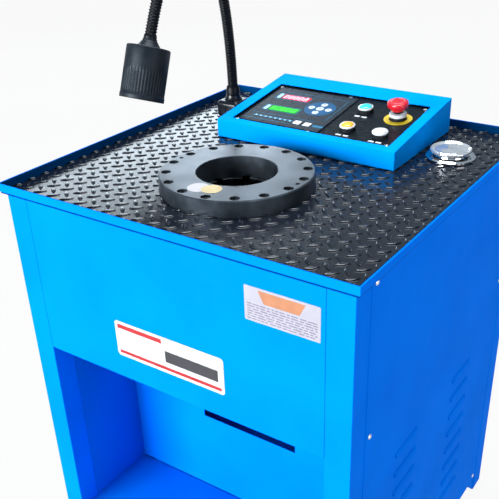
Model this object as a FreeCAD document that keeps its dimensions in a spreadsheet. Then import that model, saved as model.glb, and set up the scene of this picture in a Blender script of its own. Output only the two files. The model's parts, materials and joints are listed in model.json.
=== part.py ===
import FreeCAD, Part
import math
import os
import re
import Sketcher

# Hose crimping press on a floor-standing sheet-metal cabinet. Millimetres, +Z up, front towards -Y.
# Origin: middle of the footprint, on the floor.

DIMENSIONS = {
    # cabinet outline, measured from the origin
    "tray_width": 700, "tray_depth": 710, "rim_top": 880,
    "cabinet_left": 330, "cabinet_right": 343, "cabinet_front": 352, "cabinet_rear": 343,
    "post_width": 45, "post_depth": 44, "post_wall": 3,
    "rail_deep": 30, "rail_tall": 40, "rail_top": 861.5, "rail_gap": 1.5,
    "sheet": 1.5, "seam": 0.4, "panel_bottom": 44, "gusset": 40,
    # tray and mat
    "tray_floor": 861.5, "tray_plate": 2, "rim_step": 866, "rim_wall": 1.5, "rim_hem": 3,
    "mat_thick": 3, "mat_top": 866.5,
    # front opening
    "front_edge": 566, "bay_back": 155, "bay_floor": 160, "floor_gap": 3,
    "slot_bottom": 349, "slot_left": 97, "slot_right": 122, "head_gap": 136,
    "shelf_bottom": 572, "shelf_tall": 28, "shelf_rear": 30, "beam_reach": 82,
    # crimping head
    "head_x": -8, "head_y": -125, "flange_radius": 133.5, "flange_bottom": 855, "flange_top": 893,
    "flange_bore": 70, "bolt_circle": 121, "bolt_hole": 5.5, "bolt_sink": 8.5, "sink_depth": 14,
    "tapped_radius": 5, "tapped_depth": 30, "peg_radius": 4, "edge_chamfer": 2,
    "barrel_radius": 130, "barrel_bore": 110, "barrel_bottom": 600, "barrel_floor": 25,
    "sleeve_outer": 60, "sleeve_inner": 54, "sleeve_top": 745, "port_height": 637, "port_radius": 6,
    "port_boss": 15, "port_reach": 146,
    "piston_bottom": 643, "piston_neck": 30, "piston_tall": 130, "piston_radius": 109.6,
    "piston_bore": 60.4, "seal_groove": 4.6, "seal_tall": 8, "seal_gap": 0.2,
    "shoe_bottom": 755, "shoe_tall": 99.7, "shoe_back_low": 64, "shoe_taper": 0.2, "shoe_travel": 16,
    "shoe_face": 45, "shoe_gap": 0.45, "cone_gap": 0.35, "spring_height": 835, "spring_ring": 82,
    "spring_radius": 4.8, "spring_wire": 1, "spring_hole": 5.3, "spring_bury": 10,
    # console
    "console_left": 192, "console_right": 194, "console_front": 66, "console_depth": 251,
    "console_low": 34.5, "console_slope": 7.4, "console_wall": 2, "opening_left": 167,
    "opening_right": 173, "opening_near": 18, "opening_far": 200, "panel_drop": 5, "panel_plate": 2,
    "panel_lap": 7, "face_left": 158, "face_right": 22, "face_near": 26, "face_far": 190,
    "face_thick": 2, "bezel_radius": 15, "bezel_rise": 6, "cap_radius": 11.2, "cap_rise": 8.5,
    "cap_reach": 14, "button_hole": 11.6, "key_radius": 5.2, "key_ring": 19, "key_x": -27, "key_v": 121,
    "stop_x": 135, "stop_v": 136, "stop_hole": 9, "collar_radius": 16.5, "legend_radius": 27,
    "knob_radius": 20,
    # oil filler
    "filler_x": 252, "filler_y": 183, "filler_flange": 45.5, "filler_neck": 28, "filler_bore": 24,
    "filler_pipe": 22, "cap_rim": 38, "cap_plug": 8, "filler_top": 884,
    # work lamp
    "lamp_x": -244, "lamp_y": 194, "lamp_block": 54, "lamp_block_tall": 34, "neck_radius": 11,
    "neck_gap": 5, "shade_y": -55, "shade_z": 1059, "shade_tilt": 21, "shade_radius": 41,
    "shade_length": 94, "shade_wall": 2.5,
    # hydraulics inside
    "tank_left": 290, "tank_right": 300, "tank_front": 120, "tank_rear": 290, "tank_bottom": 74,
    "tank_top": 300, "tank_wall": 3, "motor_y": 190, "motor_z": 390, "motor_radius": 70,
    "valve_x": -235, "valve_y": 102, "valve_wide": 90, "valve_deep": 80, "valve_tall": 110,
    "solenoid_radius": 17, "solenoid_long": 60, "pipe_radius": 7, "pipe_bend": 40,
    "motor_left": -30, "motor_long": 190, "cowl_long": 35, "fin_thick": 3, "foot_wide": 30,
    "foot_reach": 60, "foot_tall": 40, "pump_radius": 42, "pump_long": 80, "bell_radius": 58,
    "bell_long": 48, "outlet_radius": 14,
    # electrics
    "case_left": -283, "case_wide": 110, "case_front": 143, "case_deep": 150, "case_bottom": 610,
    "case_tall": 200, "door_thick": 4, "door_inset": 5, "gland_x": 200, "gland_z": 620,
    "gland_radius": 10, "gland_nut": 14, "gland_bore": 5.5, "gland_long": 24, "gland_out": 11,
}

SHOES = 8
SECTOR = 360 / SHOES
FLANGE_BOLTS = 16
BOLT_PITCH = 360 / FLANGE_BOLTS
WORD = re.compile(r"[a-z_]{2,}[a-z0-9_]*")

doc = FreeCAD.newDocument("crimping_press")
sheet = doc.addObject("Spreadsheet::Sheet", "Size")
for row, (alias, number) in enumerate(DIMENSIONS.items(), start=1):
    sheet.set(f"A{row}", alias)
    sheet.set(f"B{row}", str(number))
    sheet.setAlias(f"B{row}", alias)
doc.recompute()
parts = []
cuts = []


# ---------------------------------------------------------------- helpers

def size(alias):
    """Number held by a cell of the sheet."""
    return float(sheet.get(alias))


def formula(text):
    """Sheet expression for a formula written with bare cell names."""
    def prefix(match):
        return "Size." + match[0] if match[0] in DIMENSIONS else match[0]
    return WORD.sub(prefix, str(text))


def bind(item, **properties):
    """Bind properties to formulas; a double underscore stands for a dot."""
    for name, text in properties.items():
        item.setExpression(name.replace("__", "."), formula(text))


def move(item, x=0, y=0, z=0):
    """Bind the place of an object to three formulas."""
    bind(item, Placement__Base__x=x, Placement__Base__y=y, Placement__Base__z=z)


def add(kind, name):
    return doc.addObject(kind, name)


def node(item, label):
    """Keep an object as a finished sub-part under this label."""
    item.Label = label
    parts.append(item)
    return item


def box(name, x, y, z):
    """Box between pairs of formulas, each pair a low and a high side."""
    block = add("Part::Box", name)
    bind(block, Length=f"({x[1]}) - ({x[0]})", Width=f"({y[1]}) - ({y[0]})", Height=f"({z[1]}) - ({z[0]})")
    move(block, x[0], y[0], z[0])
    return block


AXES = {
    "x": FreeCAD.Rotation(FreeCAD.Vector(0, 1, 0), 90),
    "y": FreeCAD.Rotation(FreeCAD.Vector(1, 0, 0), -90),
    "z": FreeCAD.Rotation(),
}
UPRIGHT = FreeCAD.Rotation(FreeCAD.Vector(1, 0, 0), 90)


def rod(name, radius, length, x, y, z, axis="z"):
    """Cylinder that starts at a point and runs along an axis, or along a given rotation of +Z."""
    bar = add("Part::Cylinder", name)
    turn = AXES[axis] if isinstance(axis, str) else axis
    bar.Placement = FreeCAD.Placement(FreeCAD.Vector(), turn)
    bind(bar, Radius=radius, Height=length)
    move(bar, x, y, z)
    return bar


def fuse(name, pieces):
    joined = add("Part::MultiFuse", name)
    joined.Shapes = pieces
    joined.Refine = True
    return joined


def cut(name, base, tools):
    """Base less its tools, which must take material away."""
    tool = tools[0]
    if len(tools) > 1:
        tool = fuse(name + "_tools", tools)
    result = add("Part::Cut", name)
    result.Base = base
    result.Tool = tool
    cuts.append((base, result))
    return result


def group(name, pieces):
    """Separate solids that share one node."""
    together = add("Part::Compound", name)
    together.Links = pieces
    return together


def plane(body, role):
    return next(item for item in body.Origin.OriginFeatures if item.Role == role)


def sketch(body, name, role):
    drawing = body.newObject("Sketcher::SketchObject", name)
    drawing.AttachmentSupport = [(plane(body, role), "")]
    drawing.MapMode = "FlatFace"
    return drawing


def outline(drawing, points, guess):
    """Closed polygon whose corners are bound to formulas; the guess is a rough start for the solver."""
    count = len(points)
    for i in range(count):
        start = FreeCAD.Vector(*guess[i])
        end = FreeCAD.Vector(*guess[(i + 1) % count])
        drawing.addGeometry(Part.LineSegment(start, end), False)
    for i in range(count):
        drawing.addConstraint(Sketcher.Constraint("Coincident", i, 2, (i + 1) % count, 1))
    for i, corner in enumerate(points):
        for kind, text, value in zip(("DistanceX", "DistanceY"), corner, guess[i]):
            number = drawing.addConstraint(Sketcher.Constraint(kind, -1, 1, i, 1, value))
            drawing.setExpression(f"Constraints[{number}]", formula(text))


def measured(text):
    """Value of a formula, read back through a scratch cell."""
    sheet.set("D1", "=" + WORD.sub(lambda m: cell_of(m[0]), str(text)))
    sheet.recompute()
    return float(sheet.get("D1"))


def cell_of(word):
    return f"B{list(DIMENSIONS).index(word) + 1}" if word in DIMENSIONS else word


def corners(points):
    return [(measured(x), measured(y)) for x, y in points]


def turned(name, points, x=0, y=0, z=0, turn=None):
    """Body of revolution about its own Z axis, from an outline of radius and height formulas."""
    body = add("PartDesign::Body", name)
    drawing = sketch(body, name + "_profile", "XZ_Plane")
    outline(drawing, points, corners(points))
    solid = body.newObject("PartDesign::Revolution", name + "_turned")
    solid.Profile = drawing
    solid.ReferenceAxis = (drawing, ["V_Axis"])
    solid.Angle = 360
    drawing.Visibility = False
    if turn is not None:
        body.Placement = FreeCAD.Placement(FreeCAD.Vector(), turn)
    move(body, x, y, z)
    return body


def pierced(body, name, circles, depth, height, down=True):
    """Pocket of round holes, each a radius and a centre, from a height above the body's own base."""
    drawing = sketch(body, name + "_centres", "XY_Plane")
    bind(drawing, AttachmentOffset__Base__z=height)
    for i, (radius, x, y) in enumerate(circles):
        centre = FreeCAD.Vector(measured(x), measured(y))
        drawing.addGeometry(Part.Circle(centre, FreeCAD.Vector(0, 0, 1), measured(radius)), False)
        values = (("DistanceX", x, centre.x), ("DistanceY", y, centre.y))
        for kind, text, value in values:
            number = drawing.addConstraint(Sketcher.Constraint(kind, -1, 1, i, 3, value))
            drawing.setExpression(f"Constraints[{number}]", formula(text))
        number = drawing.addConstraint(Sketcher.Constraint("Radius", i, measured(radius)))
        drawing.setExpression(f"Constraints[{number}]", formula(radius))
    hole = body.newObject("PartDesign::Pocket", name)
    hole.Profile = drawing
    hole.Reversed = not down
    bind(hole, Length=depth)
    return hole


def ring_of(body, feature, count):
    """Polar pattern of one feature about the body's own Z axis."""
    pattern = body.newObject("PartDesign::PolarPattern", feature.Name + "_ring")
    pattern.Originals = [feature]
    pattern.Axis = (plane(body, "Z_Axis"), [""])
    pattern.Angle = 360
    pattern.Occurrences = count
    body.Tip = pattern
    return pattern


def spin(degrees):
    return FreeCAD.Rotation(FreeCAD.Vector(0, 0, 1), degrees)


# ---------------------------------------------------------------- cabinet steelwork

LEFT = "-cabinet_left"
RIGHT = "cabinet_right"
FRONT = "-cabinet_front"
REAR = "cabinet_rear"
BAY_LEFT = "-cabinet_left + post_width"
BAY_RIGHT = "cabinet_right - post_width"
POST_FRONT = "-cabinet_front + post_depth"
POST_REAR = "cabinet_rear - post_depth"


def corner_posts():
    """Four square tubes from the floor to the tray."""
    tubes = []
    sides = {"left": (LEFT, BAY_LEFT), "right": (BAY_RIGHT, RIGHT)}
    ends = {"front": (FRONT, POST_FRONT), "rear": (POST_REAR, REAR)}
    for side, x in sides.items():
        for end, y in ends.items():
            name = f"post_{end}_{side}"
            outer = box(name + "_outer", x, y, ("0", "tray_floor"))
            hollow = [(f"({low}) + post_wall", f"({high}) - post_wall") for low, high in (x, y)]
            inner = box(name + "_inner", hollow[0], hollow[1], ("post_wall", "tray_floor + 1"))
            tubes.append(cut(name, outer, [inner]))
    node(group("CornerPosts", tubes), "corner_posts")


def perimeter(name, low, high):
    """Four rails between the posts, just inside the panels."""
    inset = "rail_gap"
    level = (low, high)
    side_x = {
        "left": (f"{LEFT} + {inset}", f"{LEFT} + {inset} + rail_deep"),
        "right": (f"{RIGHT} - {inset} - rail_deep", f"{RIGHT} - {inset}"),
    }
    end_y = {
        "front": (f"{FRONT} + {inset}", f"{FRONT} + {inset} + rail_deep"),
        "rear": (f"{REAR} - {inset} - rail_deep", f"{REAR} - {inset}"),
    }
    rails = [box(f"{name}_{side}", x, (POST_FRONT, POST_REAR), level) for side, x in side_x.items()]
    rails += [box(f"{name}_{end}", (BAY_LEFT, BAY_RIGHT), y, level) for end, y in end_y.items()]
    return rails


def upper_rails():
    """Top rails, and the shelf of rails and beams that carries the head."""
    rails = perimeter("top_rail", "rail_top - rail_tall", "rail_top")
    shelf = ("shelf_bottom", "shelf_bottom + shelf_tall")
    inner_left = "-cabinet_left + rail_gap + rail_deep"
    inner_right = "cabinet_right - rail_gap - rail_deep"
    rails += perimeter("shelf_rail", *shelf)[:2]
    front_y = (f"{FRONT} + 7", f"{FRONT} + 7 + rail_deep")
    rails.append(box("shelf_front", (BAY_LEFT, BAY_RIGHT), front_y, shelf))
    rear_y = ("shelf_rear", "shelf_rear + rail_deep")
    rails.append(box("shelf_rear", (inner_left, inner_right), rear_y, shelf))
    for side, sign in (("left", "-"), ("right", "+")):
        middle = f"head_x {sign} beam_reach"
        x = (f"{middle} - rail_deep / 2", f"{middle} + rail_deep / 2")
        rails.append(box(f"head_beam_{side}", x, (front_y[1], "shelf_rear"), shelf))
    node(group("UpperRails", rails), "upper_rails")


def base_rails():
    """Bottom rails, two bearers under the tank and the gussets beside the feet."""
    low = "panel_bottom"
    rails = perimeter("base_rail", low, f"{low} + rail_tall")
    inner = ("-cabinet_left + rail_gap + rail_deep", "cabinet_right - rail_gap - rail_deep")
    for name, y in (("front", "-60"), ("rear", "240")):
        level = ("tank_bottom - rail_deep", "tank_bottom")
        rails.append(box(f"tank_bearer_{name}", inner, (y, f"{y} + rail_deep"), level))
    for side, x in (("left", f"{LEFT} + rail_gap"), ("right", f"{RIGHT} - rail_gap - 4")):
        for end, y, width in (("front", POST_FRONT, "gusset"), ("rear", POST_REAR, "-gusset")):
            # a triangle that tapers to nothing below the rail, away from the post
            plate = add("Part::Wedge", f"gusset_{end}_{side}")
            plate.Placement = FreeCAD.Placement(FreeCAD.Vector(), AXES["y"])
            sign = 1 if end == "front" else -1
            bind(plate, Xmin=0, Xmax=4, X2min=0, X2max=4, Ymin=0, Ymax="panel_bottom - 2")
            bind(plate, Zmin=0 if sign > 0 else "-gusset", Zmax="gusset" if sign > 0 else 0)
            bind(plate, Z2min=0 if sign > 0 else -3, Z2max=3 if sign > 0 else 0)
            move(plate, x, y, "panel_bottom")
            rails.append(plate)
    node(group("BaseRails", rails), "base_rails")


# ---------------------------------------------------------------- sheet-metal covers

SIDE_SCREWS = [(end, level) for end in ("-294", "278") for level in ("857", "588", "61")]
REAR_SCREWS = [(x, level) for x in ("-270", "283") for level in ("845", "588", "61")]
LOUVRE_ROWS = 8
LOUVRE_PITCH = 44
LOUVRE_TOP = 474
LOUVRE_COLUMNS = ("-187", "61.5")
LOUVRE_WIDE = 86
LOUVRE_TALL = 9
LOUVRE_PROUD = 3.5
LOUVRE_SLOT = 1.6
LOUVRE_OPEN = 3
SCREW_HOLE = 2.6


def side_panel(side):
    """Flat cover with two columns of louvres and folded front and rear edges."""
    sign = 1 if side == "right" else -1
    outer = RIGHT if sign > 0 else LEFT
    skin_x = ("cabinet_right - sheet", RIGHT) if sign > 0 else (LEFT, "-cabinet_left + sheet")
    y = (f"{POST_FRONT} + seam", f"{POST_REAR} - seam")
    skin = box(f"{side}_skin", skin_x, y, ("panel_bottom", "tray_floor"))
    hoods = []
    slots = []
    for c, column in enumerate(LOUVRE_COLUMNS):
        for i in range(LOUVRE_ROWS):
            level = LOUVRE_TOP - i * LOUVRE_PITCH
            hood = add("Part::Wedge", f"{side}_louvre_{c}_{i}")
            # the hood is flush with the sheet at its top edge and stands proud at its lower edge
            bind(hood, Xmin=-1 if sign > 0 else -LOUVRE_PROUD, Xmax=LOUVRE_PROUD if sign > 0 else 1)
            bind(hood, X2min=-1, X2max=1, Ymin=0, Ymax=LOUVRE_TALL)
            bind(hood, Zmin=-LOUVRE_WIDE, Zmax=0, Z2min=-LOUVRE_WIDE, Z2max=0)
            hood.Placement = FreeCAD.Placement(FreeCAD.Vector(), UPRIGHT)
            foot = f"{level} - {LOUVRE_TALL}"
            move(hood, outer, column, foot)
            hoods.append(hood)
            # the slot under the hood opens only downwards
            ends = (-3, LOUVRE_SLOT) if sign > 0 else (-LOUVRE_SLOT, 3)
            inner = tuple(f"{outer} + ({end})" for end in ends)
            reach = (f"{column} + 4", f"{column} + {LOUVRE_WIDE} - 4")
            slots.append(box(f"{side}_slot_{c}_{i}", inner, reach, (foot, f"{foot} + {LOUVRE_OPEN}")))
    holes = []
    for i, (end, level) in enumerate(SIDE_SCREWS):
        holes.append(rod(f"{side}_hole_{i}", SCREW_HOLE, 6, f"{outer} - 3", end, level, "x"))
    pressed = cut(f"{side}_vented", fuse(f"{side}_pressed", [skin] + hoods), slots)
    node(cut(f"{side.title()}Panel", pressed, holes), f"{side}_side_panel")


def flat_panels():
    """Front cover over the head, toe cover, rear cover and the walls of the hose bay."""
    panel_x = (f"{BAY_LEFT} + seam", f"{BAY_RIGHT} - seam")
    face_y = (FRONT, "-cabinet_front + sheet")
    skin = box("front_skin", panel_x, face_y, ("front_edge", "tray_floor"))
    lip = box("front_lip", panel_x, (FRONT, "-cabinet_front + 20"), ("front_edge", "front_edge + sheet"))
    # the lip folds back under the head; the seam at each side stays open
    node(fuse("FrontPanel", [skin, lip]), "front_panel")
    toe = box("toe_skin", panel_x, face_y, ("panel_bottom", "bay_floor"))
    node(toe, "toe_panel")
    rear_y = ("cabinet_rear - sheet", REAR)
    back = box("rear_skin", panel_x, rear_y, ("panel_bottom", "tray_floor"))
    behind = "cabinet_rear - 4"
    inlet = rod("inlet_hole", "gland_radius + 0.5", 6, "gland_x", behind, "gland_z", "y")
    holes = [rod(f"rear_hole_{i}", SCREW_HOLE, 6, x, behind, z, "y") for i, (x, z) in enumerate(REAR_SCREWS)]
    node(cut("RearPanel", back, [inlet] + holes), "rear_panel")
    wall_y = ("-bay_back", "-bay_back + sheet")
    wall = box("bay_wall", (BAY_LEFT, BAY_RIGHT), wall_y, ("bay_floor", "rail_top - rail_tall"))
    through = ("-bay_back - 5", "-bay_back + 5")
    slot = box("bay_slot", ("-slot_left", "slot_right"), through, ("slot_bottom", "rail_top"))
    # wider above the front cover's edge, where the wall passes round the head
    clear_x = ("head_x - head_gap", "head_x + head_gap")
    clear = box("bay_head_gap", clear_x, through, ("front_edge", "rail_top"))
    node(cut("BayBack", wall, [slot, clear]), "recess_back_panel")
    side_y = (POST_FRONT, "-bay_back + sheet")
    floor_y = ("-cabinet_front + sheet", "-bay_back - floor_gap")
    side_z = ("bay_floor", "rail_top - rail_tall")
    cheeks = [
        box("bay_left", (f"{BAY_LEFT} - sheet", BAY_LEFT), side_y, side_z),
        box("bay_right", (BAY_RIGHT, f"{BAY_RIGHT} + sheet"), side_y, side_z),
        box("bay_bottom", (BAY_LEFT, BAY_RIGHT), floor_y, ("bay_floor - sheet", "bay_floor")),
    ]
    node(group("BayPanels", cheeks), "recess_panels")


def tray_and_mat():
    """Top tray of a stepped rim and a floor sheet, and the rubber mat that lies in it."""
    half_x = "tray_width / 2"
    half_y = "tray_depth / 2"
    hem = "rim_hem"
    inner = "rim_hem + rim_wall"

    def span(inset):
        ends = [(f"-{half} + {inset}", f"{half} - ({inset})") for half in (half_x, half_y)]
        return tuple(ends)

    low = box("tray_low", *span(hem), ("tray_floor", "rim_step"))
    high = box("tray_high", *span("0"), ("rim_step", "rim_top"))
    space = box("tray_space", *span(inner), ("tray_floor - 5", "rim_top + 5"))
    rim = cut("tray_rim", fuse("tray_blank", [low, high]), [space])
    top = "tray_floor + tray_plate"
    sheet_metal = box("tray_sheet", *span(inner), ("tray_floor", top))
    head = rod("tray_head_hole", "flange_radius + 1", 30, "head_x", "head_y", "tray_floor - 10")
    filler = rod("tray_filler_hole", "filler_neck + 1", 30, "filler_x", "filler_y", "tray_floor - 10")
    # the floor sheet is a solid of its own, welded along its edge into the rim
    node(group("TopTray", [rim, cut("tray_bottom", sheet_metal, [head, filler])]), "top_tray")
    blank = box("mat_blank", *span(f"{inner} + 0.5"), (top, f"{top} + mat_thick"))
    head = rod("mat_head_hole", "flange_radius + 1", 30, "head_x", "head_y", "tray_floor - 10")
    filler = rod("mat_filler_hole", "filler_neck + 1", 30, "filler_x", "filler_y", "tray_floor - 10")
    node(cut("RubberMat", blank, [head, filler]), "rubber_mat")


# ---------------------------------------------------------------- crimping head

def head_flange():
    """Round cover of the head: bore, sixteen counterbored holes and two dowel holes."""
    tall = "flange_top - flange_bottom"
    rim = f"{tall} - edge_chamfer"
    profile = [
        ("flange_bore", "0"), ("flange_radius", "0"), ("flange_radius", rim),
        ("flange_radius - edge_chamfer", tall), ("flange_bore + 1", tall), ("flange_bore", f"{tall} - 1"),
    ]
    body = turned("HeadFlange", profile, "head_x", "head_y", "flange_bottom")
    first = BOLT_PITCH / 2
    x = f"bolt_circle * cos({first} deg)"
    y = f"bolt_circle * sin({first} deg)"
    above = f"{tall} + 1"
    through = pierced(body, "through_hole", [("bolt_hole", x, y)], f"{tall} + 2", above)
    ring_of(body, through, FLANGE_BOLTS)
    sink = pierced(body, "counterbore", [("bolt_sink", x, y)], "sink_depth + 1", above)
    ring_of(body, sink, FLANGE_BOLTS)
    dowels = [("peg_radius", "bolt_circle", "0"), ("peg_radius", "-bolt_circle", "0")]
    body.Tip = pierced(body, "dowel_hole", dowels, 13, above)
    node(body, "head_flange")


def head_cylinder():
    """Barrel with a floor, an inner sleeve, tapped holes round its rim and one oil port."""
    floor = "barrel_floor"
    rim = "flange_bottom - barrel_bottom"
    sleeve = "sleeve_top - barrel_bottom"
    profile = [
        ("sleeve_inner", "0"), ("barrel_radius", "0"), ("barrel_radius", rim), ("barrel_bore", rim),
        ("barrel_bore", floor), ("sleeve_outer", floor), ("sleeve_outer", sleeve), ("sleeve_inner", sleeve),
    ]
    body = turned("HeadBarrel", profile, "head_x", "head_y", "barrel_bottom")
    first = BOLT_PITCH / 2
    x = f"bolt_circle * cos({first} deg)"
    y = f"bolt_circle * sin({first} deg)"
    tapped = pierced(body, "tapped_hole", [("tapped_radius", x, y)], "tapped_depth + 1", f"{rim} + 1")
    ring_of(body, tapped, FLANGE_BOLTS)
    outward = FreeCAD.Rotation(FreeCAD.Vector(0, 0, 1), FreeCAD.Vector(-1, 1, 0))
    boss = rod("port_boss", "port_boss", "port_reach - 120", *port_point("120"), outward)
    drill = rod("port_drill", "port_radius", "port_reach - 98", *port_point("100"), outward)
    node(cut("HeadCylinder", fuse("ported_barrel", [body, boss]), [drill]), "head_cylinder")


def port_point(reach):
    """Point on the axis of the oil port, which leaves the barrel to the rear left."""
    return f"head_x - ({reach}) * cos(45 deg)", f"head_y + ({reach}) * sin(45 deg)", "port_height"


def flange_bolts():
    """Socket-head screws with hexagon recesses."""
    screws = []
    head_bottom = "flange_top - sink_depth"
    for i in range(FLANGE_BOLTS):
        angle = (i + 0.5) * BOLT_PITCH
        x = f"head_x + bolt_circle * cos({angle} deg)"
        y = f"head_y + bolt_circle * sin({angle} deg)"
        shank_z = "flange_bottom - tapped_depth + 4"
        shank = rod(f"shank_{i}", "tapped_radius - 0.1", f"{head_bottom} - ({shank_z})", x, y, shank_z)
        head = rod(f"screw_head_{i}", "bolt_sink - 0.5", 10, x, y, head_bottom)
        socket = add("Part::Prism", f"socket_{i}")
        socket.Polygon = 6
        bind(socket, Circumradius=4.6, Height=6)
        move(socket, x, y, f"{head_bottom} + 5")
        screws.append(cut(f"socket_screw_{i}", fuse(f"screw_blank_{i}", [shank, head]), [socket]))
    node(group("FlangeBolts", screws), "flange_bolts")


def octagon(name, across, level):
    """Octagon with its flats towards the shoes; the first size is the distance from the axis to a flat."""
    shape = add("Part::RegularPolygon", name)
    shape.Polygon = SHOES
    shape.Placement = FreeCAD.Placement(FreeCAD.Vector(), spin(SECTOR / 2))
    bind(shape, Circumradius=f"({across}) / cos({SECTOR / 2} deg)")
    move(shape, "head_x", "head_y", level)
    return shape


def ring_piston():
    """Ring piston whose eight-sided cone drives the shoes inwards as it rises."""
    top = "piston_bottom + piston_tall"
    open_back = "shoe_back_low + shoe_travel + cone_gap"
    wide = f"{open_back} + shoe_taper * ({top} + 1 - shoe_bottom)"
    narrow = f"{open_back} + shoe_taper * (piston_bottom + piston_neck - shoe_bottom)"
    hollow = add("Part::Loft", "cone_hollow")
    hollow.Sections = [
        octagon("cone_low", narrow, "piston_bottom + piston_neck"), octagon("cone_high", wide, f"{top} + 1"),
    ]
    hollow.Solid = True
    hollow.Ruled = True
    seal = "piston_neck / 2 - seal_tall / 2"
    above = f"{seal} + seal_tall"
    inner = "piston_bore"
    outer = "piston_radius"
    groove = "seal_groove"
    profile = [
        (inner, "0"), (outer, "0"), (outer, seal), (f"{outer} - {groove}", seal),
        (f"{outer} - {groove}", above), (outer, above), (outer, "piston_tall"),
        (inner, "piston_tall"), (inner, above), (f"{inner} + {groove} / 2", above),
        (f"{inner} + {groove} / 2", seal), (inner, seal),
    ]
    blank = turned("PistonBlank", profile, "head_x", "head_y", "piston_bottom")
    node(cut("RingPiston", blank, [hollow]), "ring_piston")
    low = f"{seal} + 0.3"
    high = f"{above} - 0.3"
    outer_ring = [(f"{outer} - {groove} + 0.1", low), (f"{outer} + seal_gap", low)]
    outer_ring += [(f"{outer} + seal_gap", high), (f"{outer} - {groove} + 0.1", high)]
    inner_ring = [(f"{inner} - seal_gap", low), (f"{inner} + {groove} / 2 - 0.1", low)]
    inner_ring += [(f"{inner} + {groove} / 2 - 0.1", high), (f"{inner} - seal_gap", high)]
    place = ("head_x", "head_y", "piston_bottom")
    rings = [turned("OuterSeal", outer_ring, *place), turned("InnerSeal", inner_ring, *place)]
    node(group("PistonSeals", rings), "piston_seals")


def spring_axis(number):
    """Rotation of +Z onto the line through the gap between two shoes, and the middle of that gap."""
    angle = (number + 0.5) * SECTOR
    turn = FreeCAD.Rotation(FreeCAD.Vector(0, 0, 1), spin(angle).multVec(FreeCAD.Vector(0, 1, 0)))
    return turn, angle


def die_shoe(number):
    """One of eight wedge shoes, drawn closed and then drawn back to its open place."""
    body = add("PartDesign::Body", f"Shoe{number}")
    half = f"tan({SECTOR / 2} deg)"
    inner = "shoe_face - 8"
    sections = []
    for name, level, back in (
        ("low", "0", "shoe_back_low"), ("high", "shoe_tall", "shoe_back_low + shoe_taper * shoe_tall"),
    ):
        drawing = sketch(body, f"Shoe{number}_{name}", "XY_Plane")
        bind(drawing, AttachmentOffset__Base__z=level)
        points = [
            (inner, f"shoe_gap - ({inner}) * {half}"), (back, f"shoe_gap - ({back}) * {half}"),
            (back, f"({back}) * {half} - shoe_gap"), (inner, f"({inner}) * {half} - shoe_gap"),
        ]
        outline(drawing, points, corners(points))
        sections.append(drawing)
    wedge = body.newObject("PartDesign::AdditiveLoft", f"Shoe{number}_wedge")
    wedge.Profile = sections[0]
    wedge.Sections = [sections[1]]
    wedge.Ruled = True
    bore = [("shoe_face", "0", "0")]
    body.Tip = pierced(body, f"Shoe{number}_face", bore, "shoe_tall + 2", "shoe_tall + 1")
    turn = spin(number * SECTOR)
    body.Placement = FreeCAD.Placement(FreeCAD.Vector(), turn)
    angle = number * SECTOR
    away = f"shoe_travel * cos({angle} deg)", f"shoe_travel * sin({angle} deg)"
    move(body, f"head_x + {away[0]}", f"head_y + {away[1]}", "shoe_bottom")
    pits = []
    for side in (number - 1, number):
        axis, middle = spring_axis(side)
        reach = "spring_bury + shoe_travel * sin(22.5 deg) + shoe_gap"
        x = f"head_x + spring_ring * cos({middle} deg) + ({reach}) * sin({middle} deg)"
        y = f"head_y + spring_ring * sin({middle} deg) - ({reach}) * cos({middle} deg)"
        name = f"Shoe{number}_pit_{side + 1}"
        pits.append(rod(name, "spring_hole", f"2 * ({reach})", x, y, "spring_height", axis))
    node(cut(f"DieShoe{number}", body, pits), f"die_shoe_{number + 1}")


def return_springs():
    """Short coil springs between the shoes, drawn as tubes."""
    tubes = []
    for number in range(SHOES):
        axis, middle = spring_axis(number)
        reach = "spring_bury - 0.5 + shoe_travel * sin(22.5 deg)"
        x = f"head_x + spring_ring * cos({middle} deg) + ({reach}) * sin({middle} deg)"
        y = f"head_y + spring_ring * sin({middle} deg) - ({reach}) * cos({middle} deg)"
        place = (f"2 * ({reach})", x, y, "spring_height", axis)
        outer = rod(f"coil_{number}", "spring_radius", *place)
        inner = rod(f"coil_core_{number}", "spring_radius - spring_wire", *place)
        tubes.append(cut(f"return_spring_{number}", outer, [inner]))
    node(group("ReturnSprings", tubes), "return_springs")


# ---------------------------------------------------------------- console

SLOPE = FreeCAD.Rotation(FreeCAD.Vector(1, 0, 0), size("console_slope"))
TILT_COS = "cos(console_slope * 1 deg)"
TILT_SIN = "sin(console_slope * 1 deg)"
BUTTONS = {"green_button": ("62", "145"), "amber_button": ("68", "60"), "white_button": ("137", "57")}


def panel_point(x, v, rise):
    """Point on the sloping top: x across, v up the slope from the front edge, rise off the surface."""
    y = f"console_front + ({v}) * {TILT_COS} - ({rise}) * {TILT_SIN}"
    z = f"mat_top + console_low + ({v}) * {TILT_SIN} + ({rise}) * {TILT_COS}"
    return f"{x}", y, z


def panel_box(name, x, v, rise):
    """Box that lies on the sloping top, between pairs of formulas."""
    block = add("Part::Box", name)
    block.Placement = FreeCAD.Placement(FreeCAD.Vector(), SLOPE)
    bind(block, Length=f"({x[1]}) - ({x[0]})", Width=f"({v[1]}) - ({v[0]})")
    bind(block, Height=f"({rise[1]}) - ({rise[0]})")
    move(block, *panel_point(x[0], v[0], rise[0]))
    return block


def panel_rod(name, radius, x, v, rise):
    """Cylinder square to the sloping top."""
    return rod(name, radius, f"({rise[1]}) - ({rise[0]})", *panel_point(x, v, rise[0]), SLOPE)


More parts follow.
